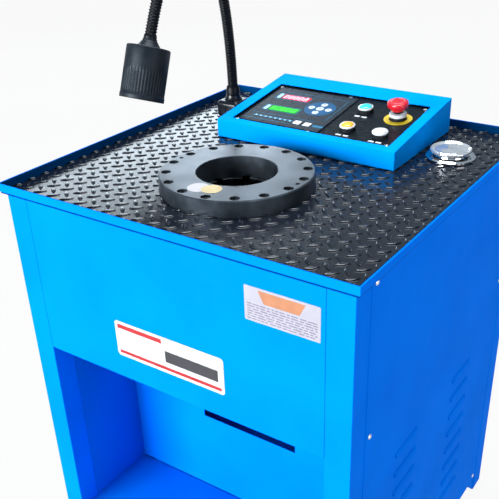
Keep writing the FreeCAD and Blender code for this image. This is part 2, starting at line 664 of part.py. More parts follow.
def console_wedge(name, inset, bottom):
    block = add("Part::Wedge", name)
    tall = f"console_low - ({inset}) * 1.02"
    rise = "tan(console_slope * 1 deg)"
    bind(block, Xmin=f"-console_left + {inset}", Xmax=f"console_right - ({inset})", Ymin=inset)
    bind(block, X2min=f"-console_left + {inset}", X2max=f"console_right - ({inset})")
    bind(block, Ymax=f"console_depth - ({inset})", Zmin=bottom, Z2min=bottom)
    bind(block, Zmax=f"{tall} + ({inset}) * {rise}", Z2max=f"{tall} + (console_depth - ({inset})) * {rise}")
    move(block, 0, "console_front", "mat_top")
    return block


def console():
    """Folded wedge-shaped box, open below, with a sunk control panel."""
    outer = console_wedge("console_outer", "0", "0")
    inner = console_wedge("console_inner", "console_wall", "-5")
    opening = panel_box(
        "console_opening", ("-opening_left", "opening_right"), ("opening_near", "opening_far"), ("-4", "4"))
    node(cut("ConsoleShell", outer, [inner, opening]), "console_shell")
    drop = "-panel_drop"
    lap = "panel_lap"
    plate = panel_box(
        "panel_blank", (f"-opening_left - {lap}", f"opening_right + {lap}"),
        (f"opening_near - {lap}", f"opening_far + {lap}"), (f"{drop} - panel_plate", drop))
    holes = [panel_rod(f"{name}_hole", "button_hole", x, v, ("-12", "3")) for name, (x, v) in BUTTONS.items()]
    holes.append(panel_rod("stop_hole", "stop_hole", "stop_x", "stop_v", ("-12", "3")))
    node(cut("PanelPlate", plate, holes), "panel_plate")


KEYS = {"key_set": (0, 0), "key_up": (0, 1), "key_down": (0, -1), "key_left": (-1, 0), "key_right": (1, 0)}
WINDOWS = (("red_window", ("-142", "-66"), ("138", "160")), ("green_window", ("-138", "-60"), ("81", "103")))


def controller():
    """Dark controller face with two display windows and a pad of five keys."""
    base = "-panel_drop"
    face = panel_box(
        "face_blank", ("-face_left", "face_right"), ("face_near", "face_far"), (base, f"{base} + face_thick"))
    openings = []
    panes = []
    for name, x, v in WINDOWS:
        openings.append(panel_box(name + "_opening", x, v, (f"{base} - 1", f"{base} + 4")))
        x_in = (f"{x[0]} + 0.2", f"{x[1]} - 0.2")
        v_in = (f"{v[0]} + 0.2", f"{v[1]} - 0.2")
        panes.append(panel_box(name, x_in, v_in, (base, f"{base} + face_thick + 0.3")))
    for name, (across, up) in KEYS.items():
        x = f"key_x + key_ring * {across}"
        v = f"key_v + key_ring * {up}"
        openings.append(panel_rod(name + "_hole", "key_radius + 0.4", x, v, (f"{base} - 1", f"{base} + 4")))
        key = panel_rod(name + "_cap", "key_radius", x, v, (f"{base} + 0.6", f"{base} + face_thick + 0.8"))
        node(key, name)
    node(cut("ControllerFace", face, openings), "controller_face")
    node(group("DisplayWindows", panes), "display_windows")


def push_buttons():
    """Three lit push buttons: bezels on the panel, and caps that travel in them."""
    rings = []
    for name, (x, v) in BUTTONS.items():
        outer = panel_rod(name + "_ring", "bezel_radius", x, v, ("-panel_drop", "bezel_rise"))
        inner = panel_rod(name + "_bore", "button_hole", x, v, ("-panel_drop - 1", "bezel_rise + 1"))
        rings.append(cut(name + "_bezel", outer, [inner]))
        profile = [
            ("0", "-cap_reach"), ("cap_radius", "-cap_reach"), ("cap_radius", "cap_rise - 2"),
            ("cap_radius - 2", "cap_rise - 0.6"), ("0", "cap_rise"),
        ]
        node(turned(name, profile, *panel_point(x, v, "0"), SLOPE), name)
    node(group("ButtonBezels", rings), "button_bezels")


def contact_blocks():
    """Switch blocks under the panel, one below each button."""
    blocks = []
    for name, (x, v) in BUTTONS.items():
        span = ((f"{x} - 9", f"{x} + 9"), (f"{v} - 12", f"{v} + 12"), ("-31", "-19"))
        blocks.append(panel_box(name + "_block", *span))
    stop = (("stop_x - 9", "stop_x + 9"), ("stop_v - 14", "stop_v + 14"), ("-38", "-24"))
    blocks.append(panel_box("stop_block", *stop))
    node(group("ContactBlocks", blocks), "contact_blocks")


def emergency_stop():
    """Mushroom head that turns on its stem, a collar and a round legend plate."""
    place = (*panel_point("stop_x", "stop_v", "0"), SLOPE)
    legend = [
        ("collar_radius + 0.5", "-panel_drop"), ("legend_radius", "-panel_drop"),
        ("legend_radius", "-panel_drop + 1.5"), ("collar_radius + 0.5", "-panel_drop + 1.5"),
    ]
    node(turned("StopLegend", legend, *place), "estop_legend")
    collar = [
        ("stop_hole", "-panel_drop"), ("collar_radius", "-panel_drop"), ("collar_radius", "7"),
        ("collar_radius - 2", "9"), ("stop_hole", "9"),
    ]
    node(turned("StopCollar", collar, *place), "estop_collar")
    shank = "stop_hole - 0.4"
    stem = [("0", "-18"), (shank, "-18"), (shank, "14"), ("5", "14"), ("5", "20"), ("0", "20")]
    node(turned("StopStem", stem, *place), "estop_stem")
    head = [
        ("5.1", "14.2"), ("13", "14.2"), ("14", "18"), ("knob_radius", "23"), ("knob_radius", "28"),
        ("knob_radius - 2", "31"), ("0", "32"), ("0", "20.4"), ("5.1", "20.4"),
    ]
    node(turned("StopHead", head, *place), "estop_head")


# ---------------------------------------------------------------- oil filler

def filler():
    """Filler neck with a pipe to the tank, a gasket and a turning breather cap."""
    place = ("filler_x", "filler_y", "0")
    neck = [
        ("filler_bore", "mat_top - 26"), ("filler_neck", "mat_top - 26"), ("filler_neck", "mat_top"),
        ("filler_flange", "mat_top"), ("filler_flange", "mat_top + 3"),
        ("filler_flange - 3", "mat_top + 5"), ("filler_neck + 3", "mat_top + 5"),
        ("filler_neck + 2", "mat_top + 8"), ("filler_bore", "mat_top + 8"),
    ]
    upper = turned("NeckTop", neck, *place)
    pipe = [
        ("filler_pipe - 2", "tank_top"), ("filler_pipe", "tank_top"), ("filler_pipe", "mat_top - 27"),
        ("filler_neck", "mat_top - 26"), ("filler_neck", "mat_top - 24"), ("filler_bore", "mat_top - 24"),
        ("filler_pipe - 2", "mat_top - 28"),
    ]
    node(fuse("FillerNeck", [upper, turned("NeckPipe", pipe, *place)]), "filler_neck")
    seat = "mat_top + 8"
    gasket = [
        ("filler_bore + 0.5", seat), ("filler_neck + 4", seat),
        ("filler_neck + 4", f"{seat} + 2"), ("filler_bore + 0.5", f"{seat} + 2"),
    ]
    node(turned("CapGasket", gasket, *place), "cap_gasket")
    low = f"{seat} + 2"
    cap = [
        ("0", f"{low} - cap_plug"), ("filler_bore - 0.4", f"{low} - cap_plug"), ("filler_bore - 0.4", low),
        ("cap_rim - 1.5", low), ("cap_rim", f"{low} + 1.5"), ("cap_rim", "filler_top - 1.5"),
        ("cap_rim - 2", "filler_top"), ("cap_rim - 7", "filler_top"),
        ("cap_rim - 9", "filler_top - 1.5"), ("0", "filler_top - 0.8"),
    ]
    node(turned("FillerCap", cap, *place), "filler_cap")


# ---------------------------------------------------------------- work lamp

# Route of the bent neck in the plane of the lamp: (y, z) corners, rounded by tangent arcs.
NECK_ROUTE = [(194, 905), (194, 1040), (147, 1213), (16, 1232), (-48.5, 1077.5)]
ARC_SHARE = 0.45
PARTED_SHARE = 0.9


def rounded_wire(route, parted):
    """Straight runs joined by tangent arcs; the arc at the parted corner may take all of its short run."""
    points = [FreeCAD.Vector(size("lamp_x"), y, z) for y, z in route]
    edges = []
    start = points[0]
    for i, (before, corner, after) in enumerate(zip(points, points[1:], points[2:]), start=1):
        arrive = (corner - before).normalize()
        leave = (after - corner).normalize()
        half = arrive.getAngle(leave) / 2
        share = PARTED_SHARE if i == parted else ARC_SHARE
        trim = share * min(before.distanceToPoint(corner), corner.distanceToPoint(after))
        radius = trim / math.tan(half)
        first = corner - arrive * trim
        last = corner + leave * trim
        inward = (leave - arrive).normalize()
        middle = corner + inward * (radius / math.cos(half) - radius)
        edges.append(Part.LineSegment(start, first).toShape())
        edges.append(Part.Arc(first, middle, last).toShape())
        print(f"neck arc radius {radius:.0f}")
        start = last
    edges.append(Part.LineSegment(start, points[-1]).toShape())
    return Part.Wire(edges)


def neck_tube(name, label, route, parted):
    """Round bar of the neck's diameter along part of its route."""
    path = rounded_wire(route, parted)
    first = path.Vertexes[0].Point
    direction = path.Edges[0].tangentAt(path.Edges[0].FirstParameter)
    ring = Part.Wire(Part.makeCircle(size("neck_radius"), first, direction))
    tube = add("Part::Feature", name)
    tube.Shape = path.makePipeShell([ring], True, True)
    expected = math.pi * size("neck_radius") ** 2 * path.Length
    if abs(tube.Shape.Volume / expected - 1) > 0.01:
        raise RuntimeError(f"{label}: volume {tube.Shape.Volume:.0f}, expected {expected:.0f}")
    node(tube, label)


def gooseneck():
    """Neck in two lengths, parted at the top of the arch where it bends most."""
    high = NECK_ROUTE[2]
    low = NECK_ROUTE[3]
    length = math.dist(high, low)
    part_share = size("neck_gap") / 2 / length
    before = [h + (0.5 - part_share) * (g - h) for h, g in zip(high, low)]
    after = [h + (0.5 + part_share) * (g - h) for h, g in zip(high, low)]
    neck_tube("NeckRiser", "gooseneck_riser", NECK_ROUTE[:3] + [before], parted=2)
    neck_tube("NeckDrop", "gooseneck_drop", [after] + NECK_ROUTE[3:], parted=1)


def lamp():
    """Block with a collar for the neck, and a long cylindrical lamp head with its bulb."""
    half = "lamp_block / 2"
    top = "mat_top + lamp_block_tall"
    sides = [(f"{middle} - {half}", f"{middle} + {half}") for middle in ("lamp_x", "lamp_y")]
    block = box("lamp_block", *sides, ("mat_top", top))
    collar = rod("lamp_collar", 15, 12, "lamp_x", "lamp_y", f"{top} - 1")
    bore = rod("lamp_bore", "neck_radius + 0.3", 30, "lamp_x", "lamp_y", f"{top} + 3")
    node(cut("LampBase", fuse("lamp_block_collar", [block, collar]), [bore]), "lamp_base")
    tilt = FreeCAD.Rotation(FreeCAD.Vector(1, 0, 0), -size("shade_tilt"))
    place = ("lamp_x", "shade_y", "shade_z", tilt)
    wall = "shade_wall"
    shade = [
        ("5", "15"), ("13", "15"), ("13.5", "11"), ("20", "0"), ("shade_radius - 3", "0"),
        ("shade_radius - 1", "-2"), ("shade_radius", "-shade_length"),
        (f"shade_radius - {wall}", "-shade_length"), (f"shade_radius - 1 - {wall}", "-4"), ("5", "-4"),
    ]
    node(turned("LampShade", shade, *place), "lamp_head")
    bulb = [("0", "-4"), ("14", "-4"), ("14", "-34"), ("27", "-60"), ("27", "-70"), ("24", "-73")]
    bulb.append(("0", "-74"))
    node(turned("LampBulb", bulb, *place), "lamp_bulb")


# ---------------------------------------------------------------- hydraulics inside the cabinet

def oil_tank():
    """Closed welded tank with a filler hole."""
    sides = (("-tank_left", "tank_right"), ("-tank_front", "tank_rear"), ("tank_bottom", "tank_top"))
    outer = box("tank_outer", *sides)
    inner = box("tank_inner", *[(f"{low} + tank_wall", f"{high} - tank_wall") for low, high in sides])
    hole = rod("tank_filler_hole", "filler_pipe - 2", 20, "filler_x", "filler_y", "tank_top - 10")
    node(cut("OilTank", outer, [inner, hole]), "oil_tank")


MOTOR_FINS = 16


def power_unit():
    """Electric motor and gear pump on the tank, joined by a bell housing."""
    axis = ("motor_y", "motor_z", "x")
    frame = [rod("motor_body", "motor_radius - 6", "motor_long", "motor_left", *axis)]
    frame.append(rod("motor_cowl", "motor_radius", "cowl_long", "motor_left + motor_long - 10", *axis))
    frame.append(rod("motor_flange", "motor_radius", 12, "motor_left - 12", *axis))
    for i in range(MOTOR_FINS):
        turn = FreeCAD.Rotation(FreeCAD.Vector(1, 0, 0), i * 360 / MOTOR_FINS)
        fin = add("Part::Box", f"motor_fin_{i}")
        fin.Placement = FreeCAD.Placement(FreeCAD.Vector(), turn)
        bind(fin, Length="motor_long - 10", Width="fin_thick", Height="motor_radius - 3")
        shift = turn.multVec(FreeCAD.Vector(0, -size("fin_thick") / 2, 0))
        move(fin, "motor_left", f"motor_y + {shift.y:.4f}", f"motor_z + {shift.z:.4f}")
        frame.append(fin)
    across = ("motor_y - foot_reach", "motor_y + foot_reach")
    for i, start in enumerate(("motor_left + 30", "motor_left + 140")):
        along = (start, f"{start} + foot_wide")
        frame.append(box(f"motor_foot_{i}", along, across, ("tank_top", "tank_top + foot_tall")))
    along = ("motor_left + 50", "motor_left + 130")
    level = ("motor_z + motor_radius - 15", "motor_z + motor_radius + 30")
    frame.append(box("motor_terminals", along, ("motor_y - 40", "motor_y + 40"), level))
    node(fuse("DriveMotor", frame), "drive_motor")
    bell = "motor_left - 12 - bell_long"
    housing = [rod("pump_bell", "bell_radius", "bell_long", bell, *axis)]
    housing.append(rod("pump_body", "pump_radius", "pump_long", f"{bell} + 2 - pump_long", *axis))
    outlet_x = f"{bell} + 2 - pump_long / 2"
    housing.append(rod("pump_outlet", "outlet_radius", "pump_radius + 13", outlet_x, "motor_y", "motor_z"))
    node(fuse("HydraulicPump", housing), "hydraulic_pump")


def valve_block():
    """Valve manifold with two solenoids, standing on the tank."""
    x = ("valve_x - valve_wide / 2", "valve_x + valve_wide / 2")
    y = ("valve_y - valve_deep / 2", "valve_y + valve_deep / 2")
    block = box("manifold", x, y, ("tank_top", "tank_top + valve_tall"))
    start = f"{y[0]} - solenoid_long + 10"
    coils = []
    for i, level in enumerate((30, 78)):
        height = f"tank_top + {level}"
        coils.append(rod(f"solenoid_{i}", "solenoid_radius", "solenoid_long", "valve_x", start, height, "y"))
    node(fuse("ValveBlock", [block] + coils), "valve_block")


def pressure_pipe():
    """Steel pipe from the manifold up and across to the port of the head."""
    x, y, top = (measured(text) for text in port_point("port_reach"))
    reach = size("valve_x") - x
    corner = FreeCAD.Vector(x + reach, y - reach, top)
    start = FreeCAD.Vector(corner.x, corner.y, measured("tank_top + valve_tall"))
    end = FreeCAD.Vector(x, y, top)
    bend = size("pipe_bend")
    along = (end - corner).normalize()
    first = corner - FreeCAD.Vector(0, 0, bend)
    last = corner + along * bend
    inward = (along - FreeCAD.Vector(0, 0, 1)).normalize()
    middle = corner + inward * bend * (math.sqrt(2) - 1)
    edges = [Part.LineSegment(start, first).toShape(), Part.Arc(first, middle, last).toShape()]
    edges.append(Part.LineSegment(last, end).toShape())
    path = Part.Wire(edges)
    ring = Part.Wire(Part.makeCircle(size("pipe_radius"), start, FreeCAD.Vector(0, 0, 1)))
    pipe = add("Part::Feature", "PressurePipe")
    pipe.Shape = path.makePipeShell([ring], True, True)
    node(pipe, "pressure_pipe")


def electrics():
    """Control box at the rear left, and the cable gland in the rear cover."""
    right = "case_left + case_wide"
    back = "case_front + case_deep"
    top = "case_bottom + case_tall"
    case = box("control_case", ("case_left", right), ("case_front", back), ("case_bottom", top))
    door_y = ("case_front + door_inset", f"{back} - door_inset")
    door_z = ("case_bottom + door_inset", f"{top} - door_inset")
    door = box("case_door", (right, f"{right} + door_thick"), door_y, door_z)
    hinge_y = "case_front + door_inset"
    hinge = rod("case_hinge", 4, "case_tall - 20", f"{right} + door_thick", hinge_y, "case_bottom + 10")
    node(fuse("ElectricalBox", [case, door, hinge]), "electrical_box")
    inside = "cabinet_rear + gland_out - gland_long"
    barrel = rod("gland_barrel", "gland_radius", "gland_long", "gland_x", inside, "gland_z", "y")
    nut = rod("gland_nut", "gland_nut", 6, "gland_x", REAR, "gland_z", "y")
    bore = rod("gland_hole", "gland_bore", "gland_long + 16", "gland_x", f"{inside} - 7", "gland_z", "y")
    node(cut("PowerInlet", fuse("gland_blank", [barrel, nut]), [bore]), "power_inlet")


def screw_at(name, x, y, z, axis):
    """Pan-head screw: the head stands on the surface, the shank fills the hole in the sheet."""
    head = [("0", "-1.5"), ("2.5", "-1.5"), ("2.5", "0"), ("4.5", "0"), ("4.5", "1.2"), ("3", "2.5")]
    head.append(("0", "2.8"))
    return turned(name, head, x, y, z, axis)


def cover_screws():
    """Screws of the side and rear covers and of the filler flange."""
    screws = []
    out = {"right": (RIGHT, FreeCAD.Rotation(FreeCAD.Vector(0, 1, 0), 90))}
    out["left"] = (LEFT, FreeCAD.Rotation(FreeCAD.Vector(0, 1, 0), -90))
    for side, (x, turn) in out.items():
        for i, (y, z) in enumerate(SIDE_SCREWS):
            screws.append(screw_at(f"{side}_screw_{i}", x, y, z, turn))
    backwards = FreeCAD.Rotation(FreeCAD.Vector(1, 0, 0), -90)
    for i, (x, z) in enumerate(REAR_SCREWS):
        screws.append(screw_at(f"rear_screw_{i}", x, REAR, z, backwards))
    node(group("CoverScrews", screws), "cover_screws")


# ---------------------------------------------------------------- build, test and write

def check_and_write():
    doc.recompute()
    faults = [item.Name for item in doc.Objects if {"Invalid", "Error"} & set(item.State)]
    for base, result in cuts:
        if not result.Shape.Volume < base.Shape.Volume - 1:
            faults.append(f"{result.Name} takes nothing away")
    for item in parts:
        if item.Shape.isNull() or not item.Shape.isValid() or not item.Shape.Solids:
            faults.append(f"{item.Label} has no valid solid")
    if faults:
        raise RuntimeError("; ".join(faults))
    os.makedirs("parts", exist_ok=True)
    for item in parts:
        item.Shape.exportStep(f"parts/{item.Label}.step")
    whole = Part.makeCompound([item.Shape for item in parts]).BoundBox
    print(f"{len(parts)} parts, box {whole}")


corner_posts()
upper_rails()
base_rails()
tray_and_mat()
side_panel("left")
side_panel("right")
flat_panels()
head_flange()
head_cylinder()
flange_bolts()
ring_piston()
for shoe in range(SHOES):
    die_shoe(shoe)
return_springs()
console()
controller()
push_buttons()
contact_blocks()
emergency_stop()
filler()
lamp()
gooseneck()
oil_tank()
power_unit()
valve_block()
pressure_pipe()
electrics()
cover_screws()
check_and_write()
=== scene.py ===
import json
import math
import random

import bmesh
import bpy
from mathutils import Matrix, Vector


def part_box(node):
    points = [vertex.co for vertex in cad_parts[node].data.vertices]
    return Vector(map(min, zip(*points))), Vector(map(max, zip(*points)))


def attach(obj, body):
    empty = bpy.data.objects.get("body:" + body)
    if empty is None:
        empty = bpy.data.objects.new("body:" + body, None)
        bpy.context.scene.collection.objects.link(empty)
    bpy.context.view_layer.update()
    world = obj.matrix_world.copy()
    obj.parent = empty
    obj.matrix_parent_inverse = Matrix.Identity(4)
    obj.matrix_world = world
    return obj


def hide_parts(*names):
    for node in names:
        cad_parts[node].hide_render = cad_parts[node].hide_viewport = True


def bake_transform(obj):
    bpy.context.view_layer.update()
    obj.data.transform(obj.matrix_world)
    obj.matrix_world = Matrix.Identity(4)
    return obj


# Hose crimping press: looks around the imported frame. Metres, +Z up, front towards -Y.

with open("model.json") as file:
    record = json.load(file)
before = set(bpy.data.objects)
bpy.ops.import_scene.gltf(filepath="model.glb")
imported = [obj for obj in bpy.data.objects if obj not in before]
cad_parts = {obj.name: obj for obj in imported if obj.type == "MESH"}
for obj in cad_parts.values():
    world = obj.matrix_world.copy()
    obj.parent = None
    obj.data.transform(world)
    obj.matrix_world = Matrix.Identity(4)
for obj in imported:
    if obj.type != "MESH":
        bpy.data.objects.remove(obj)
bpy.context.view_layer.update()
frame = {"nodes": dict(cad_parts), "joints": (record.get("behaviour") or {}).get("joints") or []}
nodes = frame["nodes"]
rng = random.Random(7)

MM = 0.001


def mm(pairs):
    """Pairs of millimetres as pairs of metres."""
    return [(a * MM, b * MM) for a, b in pairs]


def added(name, data):
    """A new object in the scene, made from its data."""
    item = bpy.data.objects.new(name, data)
    bpy.context.scene.collection.objects.link(item)
    return item


# ---------------------------------------------------------------- camera, light and floor

CAMERA_PLACE = (0.7533, -1.1578, 1.3876)
CAMERA_YAW = -34.18
CAMERA_DOWN = 29.66
CAMERA_ROLL = -1.50
CAMERA_LENS = 57.69
CAMERA_SHIFT = (-0.0397, 0.0808)


def camera():
    yaw, down, roll = (math.radians(a) for a in (CAMERA_YAW, CAMERA_DOWN, CAMERA_ROLL))
    ahead = Vector((math.cos(down) * math.sin(yaw), math.cos(down) * math.cos(yaw), -math.sin(down)))
    level = Vector((math.cos(yaw), -math.sin(yaw), 0))
    upright = level.cross(ahead)
    right = level * math.cos(roll) + upright * math.sin(roll)
    up = upright * math.cos(roll) - level * math.sin(roll)
    data = bpy.data.cameras.new("camera")
    data.lens = CAMERA_LENS
    data.shift_x, data.shift_y = CAMERA_SHIFT
    data.clip_end = 100
    item = added("camera", data)
    turn = Matrix((right, up, -ahead)).transposed().to_4x4()
    item.matrix_world = Matrix.Translation(CAMERA_PLACE) @ turn
    bpy.context.scene.camera = item


def softbox(name, place, aim, width, height, power, colour=(1, 1, 1)):
    data = bpy.data.lights.new(name, "AREA")
    data.shape = "RECTANGLE"
    data.size = width
    data.size_y = height
    data.energy = power
    data.color = colour
    item = added(name, data)
    item.location = place
    item.rotation_euler = (Vector(aim) - Vector(place)).to_track_quat("-Z", "Y").to_euler()


def studio():
    """Dim sky and four area lights, with colours shown as they are."""
    scene = bpy.context.scene
    scene.view_settings.view_transform = "Standard"
    scene.view_settings.look = "None"
    world = bpy.data.worlds.new("studio")
    scene.world = world
    world.use_nodes = True
    background = world.node_tree.nodes["Background"]
    background.inputs["Color"].default_value = (0.72, 0.87, 1.0, 1)
    background.inputs["Strength"].default_value = 0.4
    softbox("key", (-1.8, -5.3, 1.75), (0, -0.1, 0.6), 3.6, 2.2, 965, (0.93, 0.975, 1.0))
    softbox("window", (-3.9, 3.6, 2.1), (-0.1, 0, 0.87), 3.0, 1.8, 98, (0.8, 0.91, 1.0))
    softbox("overhead", (-0.2, 0.6, 3.4), (0, 0, 0.85), 1.5, 1.3, 150, (0.9, 0.96, 1.0))
    softbox("side_fill", (3.6, -0.9, 1.3), (0.3, -0.1, 0.5), 2.0, 2.0, 46)


FLOOR_HALF = 30
FLOOR_GLOW = 0.935
BACKDROP_REACH = 27
BACKDROP_ROWS = 16
BACKDROP_GLOW = 0.955


def set_piece(name, mesh, dark, light, roughness, scale, strength):
    """Adds a part of the set: nearly black greys under an even white glow."""
    look = surface(
        name + "_pale", (light,) * 3, roughness, Specular_IOR_Level=0.0,
        Emission_Color=(1, 1, 1, 1), Emission_Strength=strength,
    )
    mottled(look, (dark,) * 3, (light,) * 3, scale)
    mesh.materials.append(look.material)
    return added(name, mesh)


def floor():
    """Flat pale floor at height 0."""
    mesh = bpy.data.meshes.new("floor")
    corners = [(-1, -1), (1, -1), (1, 1), (-1, 1)]
    mesh.from_pydata([(x * FLOOR_HALF, y * FLOOR_HALF, 0) for x, y in corners], [], [(0, 1, 2, 3)])
    item = set_piece("floor", mesh, 0.018, 0.022, 0.9, 2, FLOOR_GLOW)


def backdrop():
    """Pale dome behind the floor, seen but casting no light and no shadow."""
    profile = [(BACKDROP_REACH, -1)]
    for i in range(BACKDROP_ROWS + 1):
        angle = math.radians(90 * i / BACKDROP_ROWS)
        profile.append((BACKDROP_REACH * math.cos(angle), BACKDROP_REACH * math.sin(angle)))
    profile[-1] = (0, BACKDROP_REACH)
    mesh = lathe("backdrop", [(0, -1)] + profile, Matrix.Identity(4), 48)
    item = set_piece("backdrop", mesh, 0.0, 0.002, 1.0, 0.2, BACKDROP_GLOW)
    item.visible_diffuse = False
    item.visible_glossy = False
    item.visible_transmission = False
    item.visible_shadow = False


# ---------------------------------------------------------------- materials

class Look:
    """A material with its node tree, shader and texture coordinates."""

    def __init__(self, name):
        self.material = bpy.data.materials.new(name)
        self.material.use_nodes = True
        self.tree = self.material.node_tree
        self.shader = self.tree.nodes["Principled BSDF"]
        self.place = self.tree.nodes.new("ShaderNodeTexCoord")

    def node(self, kind, **values):
        made = self.tree.nodes.new(kind)
        for name, value in values.items():
            setattr(made, name, value)
        return made

    def link(self, start, end):
        self.tree.links.new(start, end)


def surface(name, colour, roughness, metallic=0.0, **sockets):
    look = Look(name)
    look.shader.inputs["Base Color"].default_value = (*colour, 1)
    look.shader.inputs["Roughness"].default_value = roughness
    look.shader.inputs["Metallic"].default_value = metallic
    for socket, value in sockets.items():
        look.shader.inputs[socket.replace("_", " ")].default_value = value
    return look


def grain(look, scale, detail=3.0):
    """Noise over the object's own coordinates; the scale is in waves per metre."""
    noise = look.node("ShaderNodeTexNoise")
    noise.inputs["Scale"].default_value = scale
    noise.inputs["Detail"].default_value = detail
    look.link(look.place.outputs["Object"], noise.inputs["Vector"])
    return noise.outputs["Fac"]


def mottled(look, dark, light, scale, low=0.35, high=0.65, socket="Base Color"):
    """Colour that drifts between two shades, as the noise goes from low to high."""
    ramp = look.node("ShaderNodeValToRGB")
    first, last = ramp.color_ramp.elements
    first.position = low
    last.position = high
    first.color = (*dark, 1)
    last.color = (*light, 1)
    look.link(grain(look, scale), ramp.inputs["Fac"])
    look.link(ramp.outputs["Color"], look.shader.inputs[socket])


def uneven(look, low, high, scale):
    """Roughness that drifts between two values."""
    spread = look.node("ShaderNodeMapRange")
    spread.inputs["From Min"].default_value = 0.3
    spread.inputs["From Max"].default_value = 0.7
    spread.inputs["To Min"].default_value = low
    spread.inputs["To Max"].default_value = high
    look.link(grain(look, scale), spread.inputs["Value"])
    look.link(spread.outputs["Result"], look.shader.inputs["Roughness"])


def bumpy(look, height, depth, strength):
    """Adds a bump from a height output, on top of any bump already there."""
    bump = look.node("ShaderNodeBump")
    bump.inputs["Strength"].default_value = strength
    bump.inputs["Distance"].default_value = depth
    look.link(height, bump.inputs["Height"])
    before = look.shader.inputs["Normal"].links
    if before:
        look.link(before[0].from_socket, bump.inputs["Normal"])
    look.link(bump.outputs["Normal"], look.shader.inputs["Normal"])


def rings(look, centre, pitch):
    """Height of fine turned rings about a vertical axis."""
    shift = look.node("ShaderNodeVectorMath", operation="SUBTRACT")
    shift.inputs[1].default_value = centre
    flat = look.node("ShaderNodeVectorMath", operation="MULTIPLY")
    flat.inputs[1].default_value = (1, 1, 0)
    radius = look.node("ShaderNodeVectorMath", operation="LENGTH")
    noise = look.node("ShaderNodeTexNoise", noise_dimensions="1D")
    noise.inputs["Scale"].default_value = 1 / pitch
    noise.inputs["Detail"].default_value = 2
    look.link(look.place.outputs["Object"], shift.inputs[0])
    look.link(shift.outputs["Vector"], flat.inputs[0])
    look.link(flat.outputs["Vector"], radius.inputs[0])
    look.link(radius.outputs["Value"], noise.inputs["W"])
    return noise.outputs["Fac"]


def powder_coat(name, dark, light):
    """Blue powder coat: a soft drift of shade and the fine ripple of sprayed powder."""
    look = surface(name, light, 0.5, Specular_IOR_Level=0.002)
    mottled(look, dark, light, scale=6)
    uneven(look, 0.44, 0.56, scale=30)
    bumpy(look, grain(look, 420, detail=2), 0.00008, 0.5)
    bumpy(look, grain(look, 9, detail=1), 0.0006, 0.045)
    return look


BLUES = ((0.0, 0.13, 0.68), (0.0, 0.146, 0.74))


def shaded_tray_coat(name, shade, half_x, half_y):
    """Powder coat with painted shade: the inner walls and floor of the tray are painted a darker blue, as
    shade.
    """
    look = powder_coat(name, *BLUES)
    paint = look.shader.inputs["Base Color"].links[0].from_socket
    size = look.node("ShaderNodeVectorMath", operation="ABSOLUTE")
    share = look.node("ShaderNodeVectorMath", operation="DIVIDE")
    share.inputs[1].default_value = (half_x, half_y, 1)
    parts = look.node("ShaderNodeSeparateXYZ")
    edge = look.node("ShaderNodeMath", operation="MAXIMUM")
    inside = look.node("ShaderNodeMath", operation="LESS_THAN")
    inside.inputs[1].default_value = 1.0
    mix = look.node("ShaderNodeMix", data_type="RGBA")
    mix.inputs["B"].default_value = (*shade, 1)
    look.link(look.place.outputs["Object"], size.inputs[0])
    look.link(size.outputs["Vector"], share.inputs[0])
    look.link(share.outputs["Vector"], parts.inputs["Vector"])
    look.link(parts.outputs["X"], edge.inputs[0])
    look.link(parts.outputs["Y"], edge.inputs[1])
    look.link(edge.outputs["Value"], inside.inputs[0])
    look.link(inside.outputs["Value"], mix.inputs["Factor"])
    look.link(paint, mix.inputs["A"])
    look.link(mix.outputs["Result"], look.shader.inputs["Base Color"])
    return look


def metal(name, dark, light, low, high, scale=60, metallic=1.0):
    """Metal with a drift of shade and roughness between two values each, and a fine grain."""
    look = surface(name, light, low, metallic)
    mottled(look, dark, light, scale)
    uneven(look, low, high, scale * 2)
    bumpy(look, grain(look, scale * 6), 0.00005, 0.4)
    return look


PLASTIC_GRAIN = 200
TURN_PITCH = 0.0006


def plastic(name, colour, low, high, depth=0.00006, spread=0.85, **sockets):
    """Moulded or printed surface: its darkest shade is the spread times its colour."""
    look = surface(name, colour, low, **sockets)
    mottled(look, tuple(c * spread for c in colour), colour, PLASTIC_GRAIN / 4)
    uneven(look, low, high, PLASTIC_GRAIN / 3)
    bumpy(look, grain(look, PLASTIC_GRAIN * 3), depth, 0.5)
    return look


def turned_steel(name, centre, dark, light, low, high):
    """Steel faced on a lathe, with fine rings and faint handling marks."""
    look = metal(name, dark, light, low, high, scale=18, metallic=0.78)
    bumpy(look, rings(look, centre, TURN_PITCH), 0.00004, 0.55)
    bumpy(look, grain(look, 9, detail=5), 0.0006, 0.15)
    return look


def glow(name, base, colour, strength, roughness=0.2):
    """Lit film or digit: its own light, uneven across the surface."""
    look = surface(name, base, roughness, Emission_Strength=strength)
    mottled(look, tuple(c * 0.6 for c in colour), colour, 70, 0.0, 1.0, "Emission Color")
    bumpy(look, grain(look, 300), 0.00004, 0.3)
    return look


# ---------------------------------------------------------------- mesh helpers

def centre_of(node):
    low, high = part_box(node)
    return (low + high) / 2


def top_of(node):
    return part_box(node)[1].z


def piece(name, mesh, look, body, smooth=True, sharp=35):
    """Adds a mesh as a piece with one material, riding on a body."""
    item = added(name, mesh)
    mesh.materials.append(look.material)
    for face in mesh.polygons:
        face.use_smooth = smooth
    if smooth:
        mesh.set_sharp_from_angle(angle=math.radians(sharp))
    if body:
        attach(item, body)
    return item


def mesh_of(name, points, faces, matrix=None):
    """A mesh with its normals facing outwards, moved by the matrix if there is one."""
    mesh = bpy.data.meshes.new(name)
    mesh.from_pydata([tuple(p) for p in points], [], faces)
    mesh.validate()
    if matrix is not None:
        mesh.transform(matrix)
    shell = bmesh.new()
    shell.from_mesh(mesh)
    bmesh.ops.recalc_face_normals(shell, faces=shell.faces)
    shell.to_mesh(mesh)
    shell.free()
    mesh.update()
    return mesh


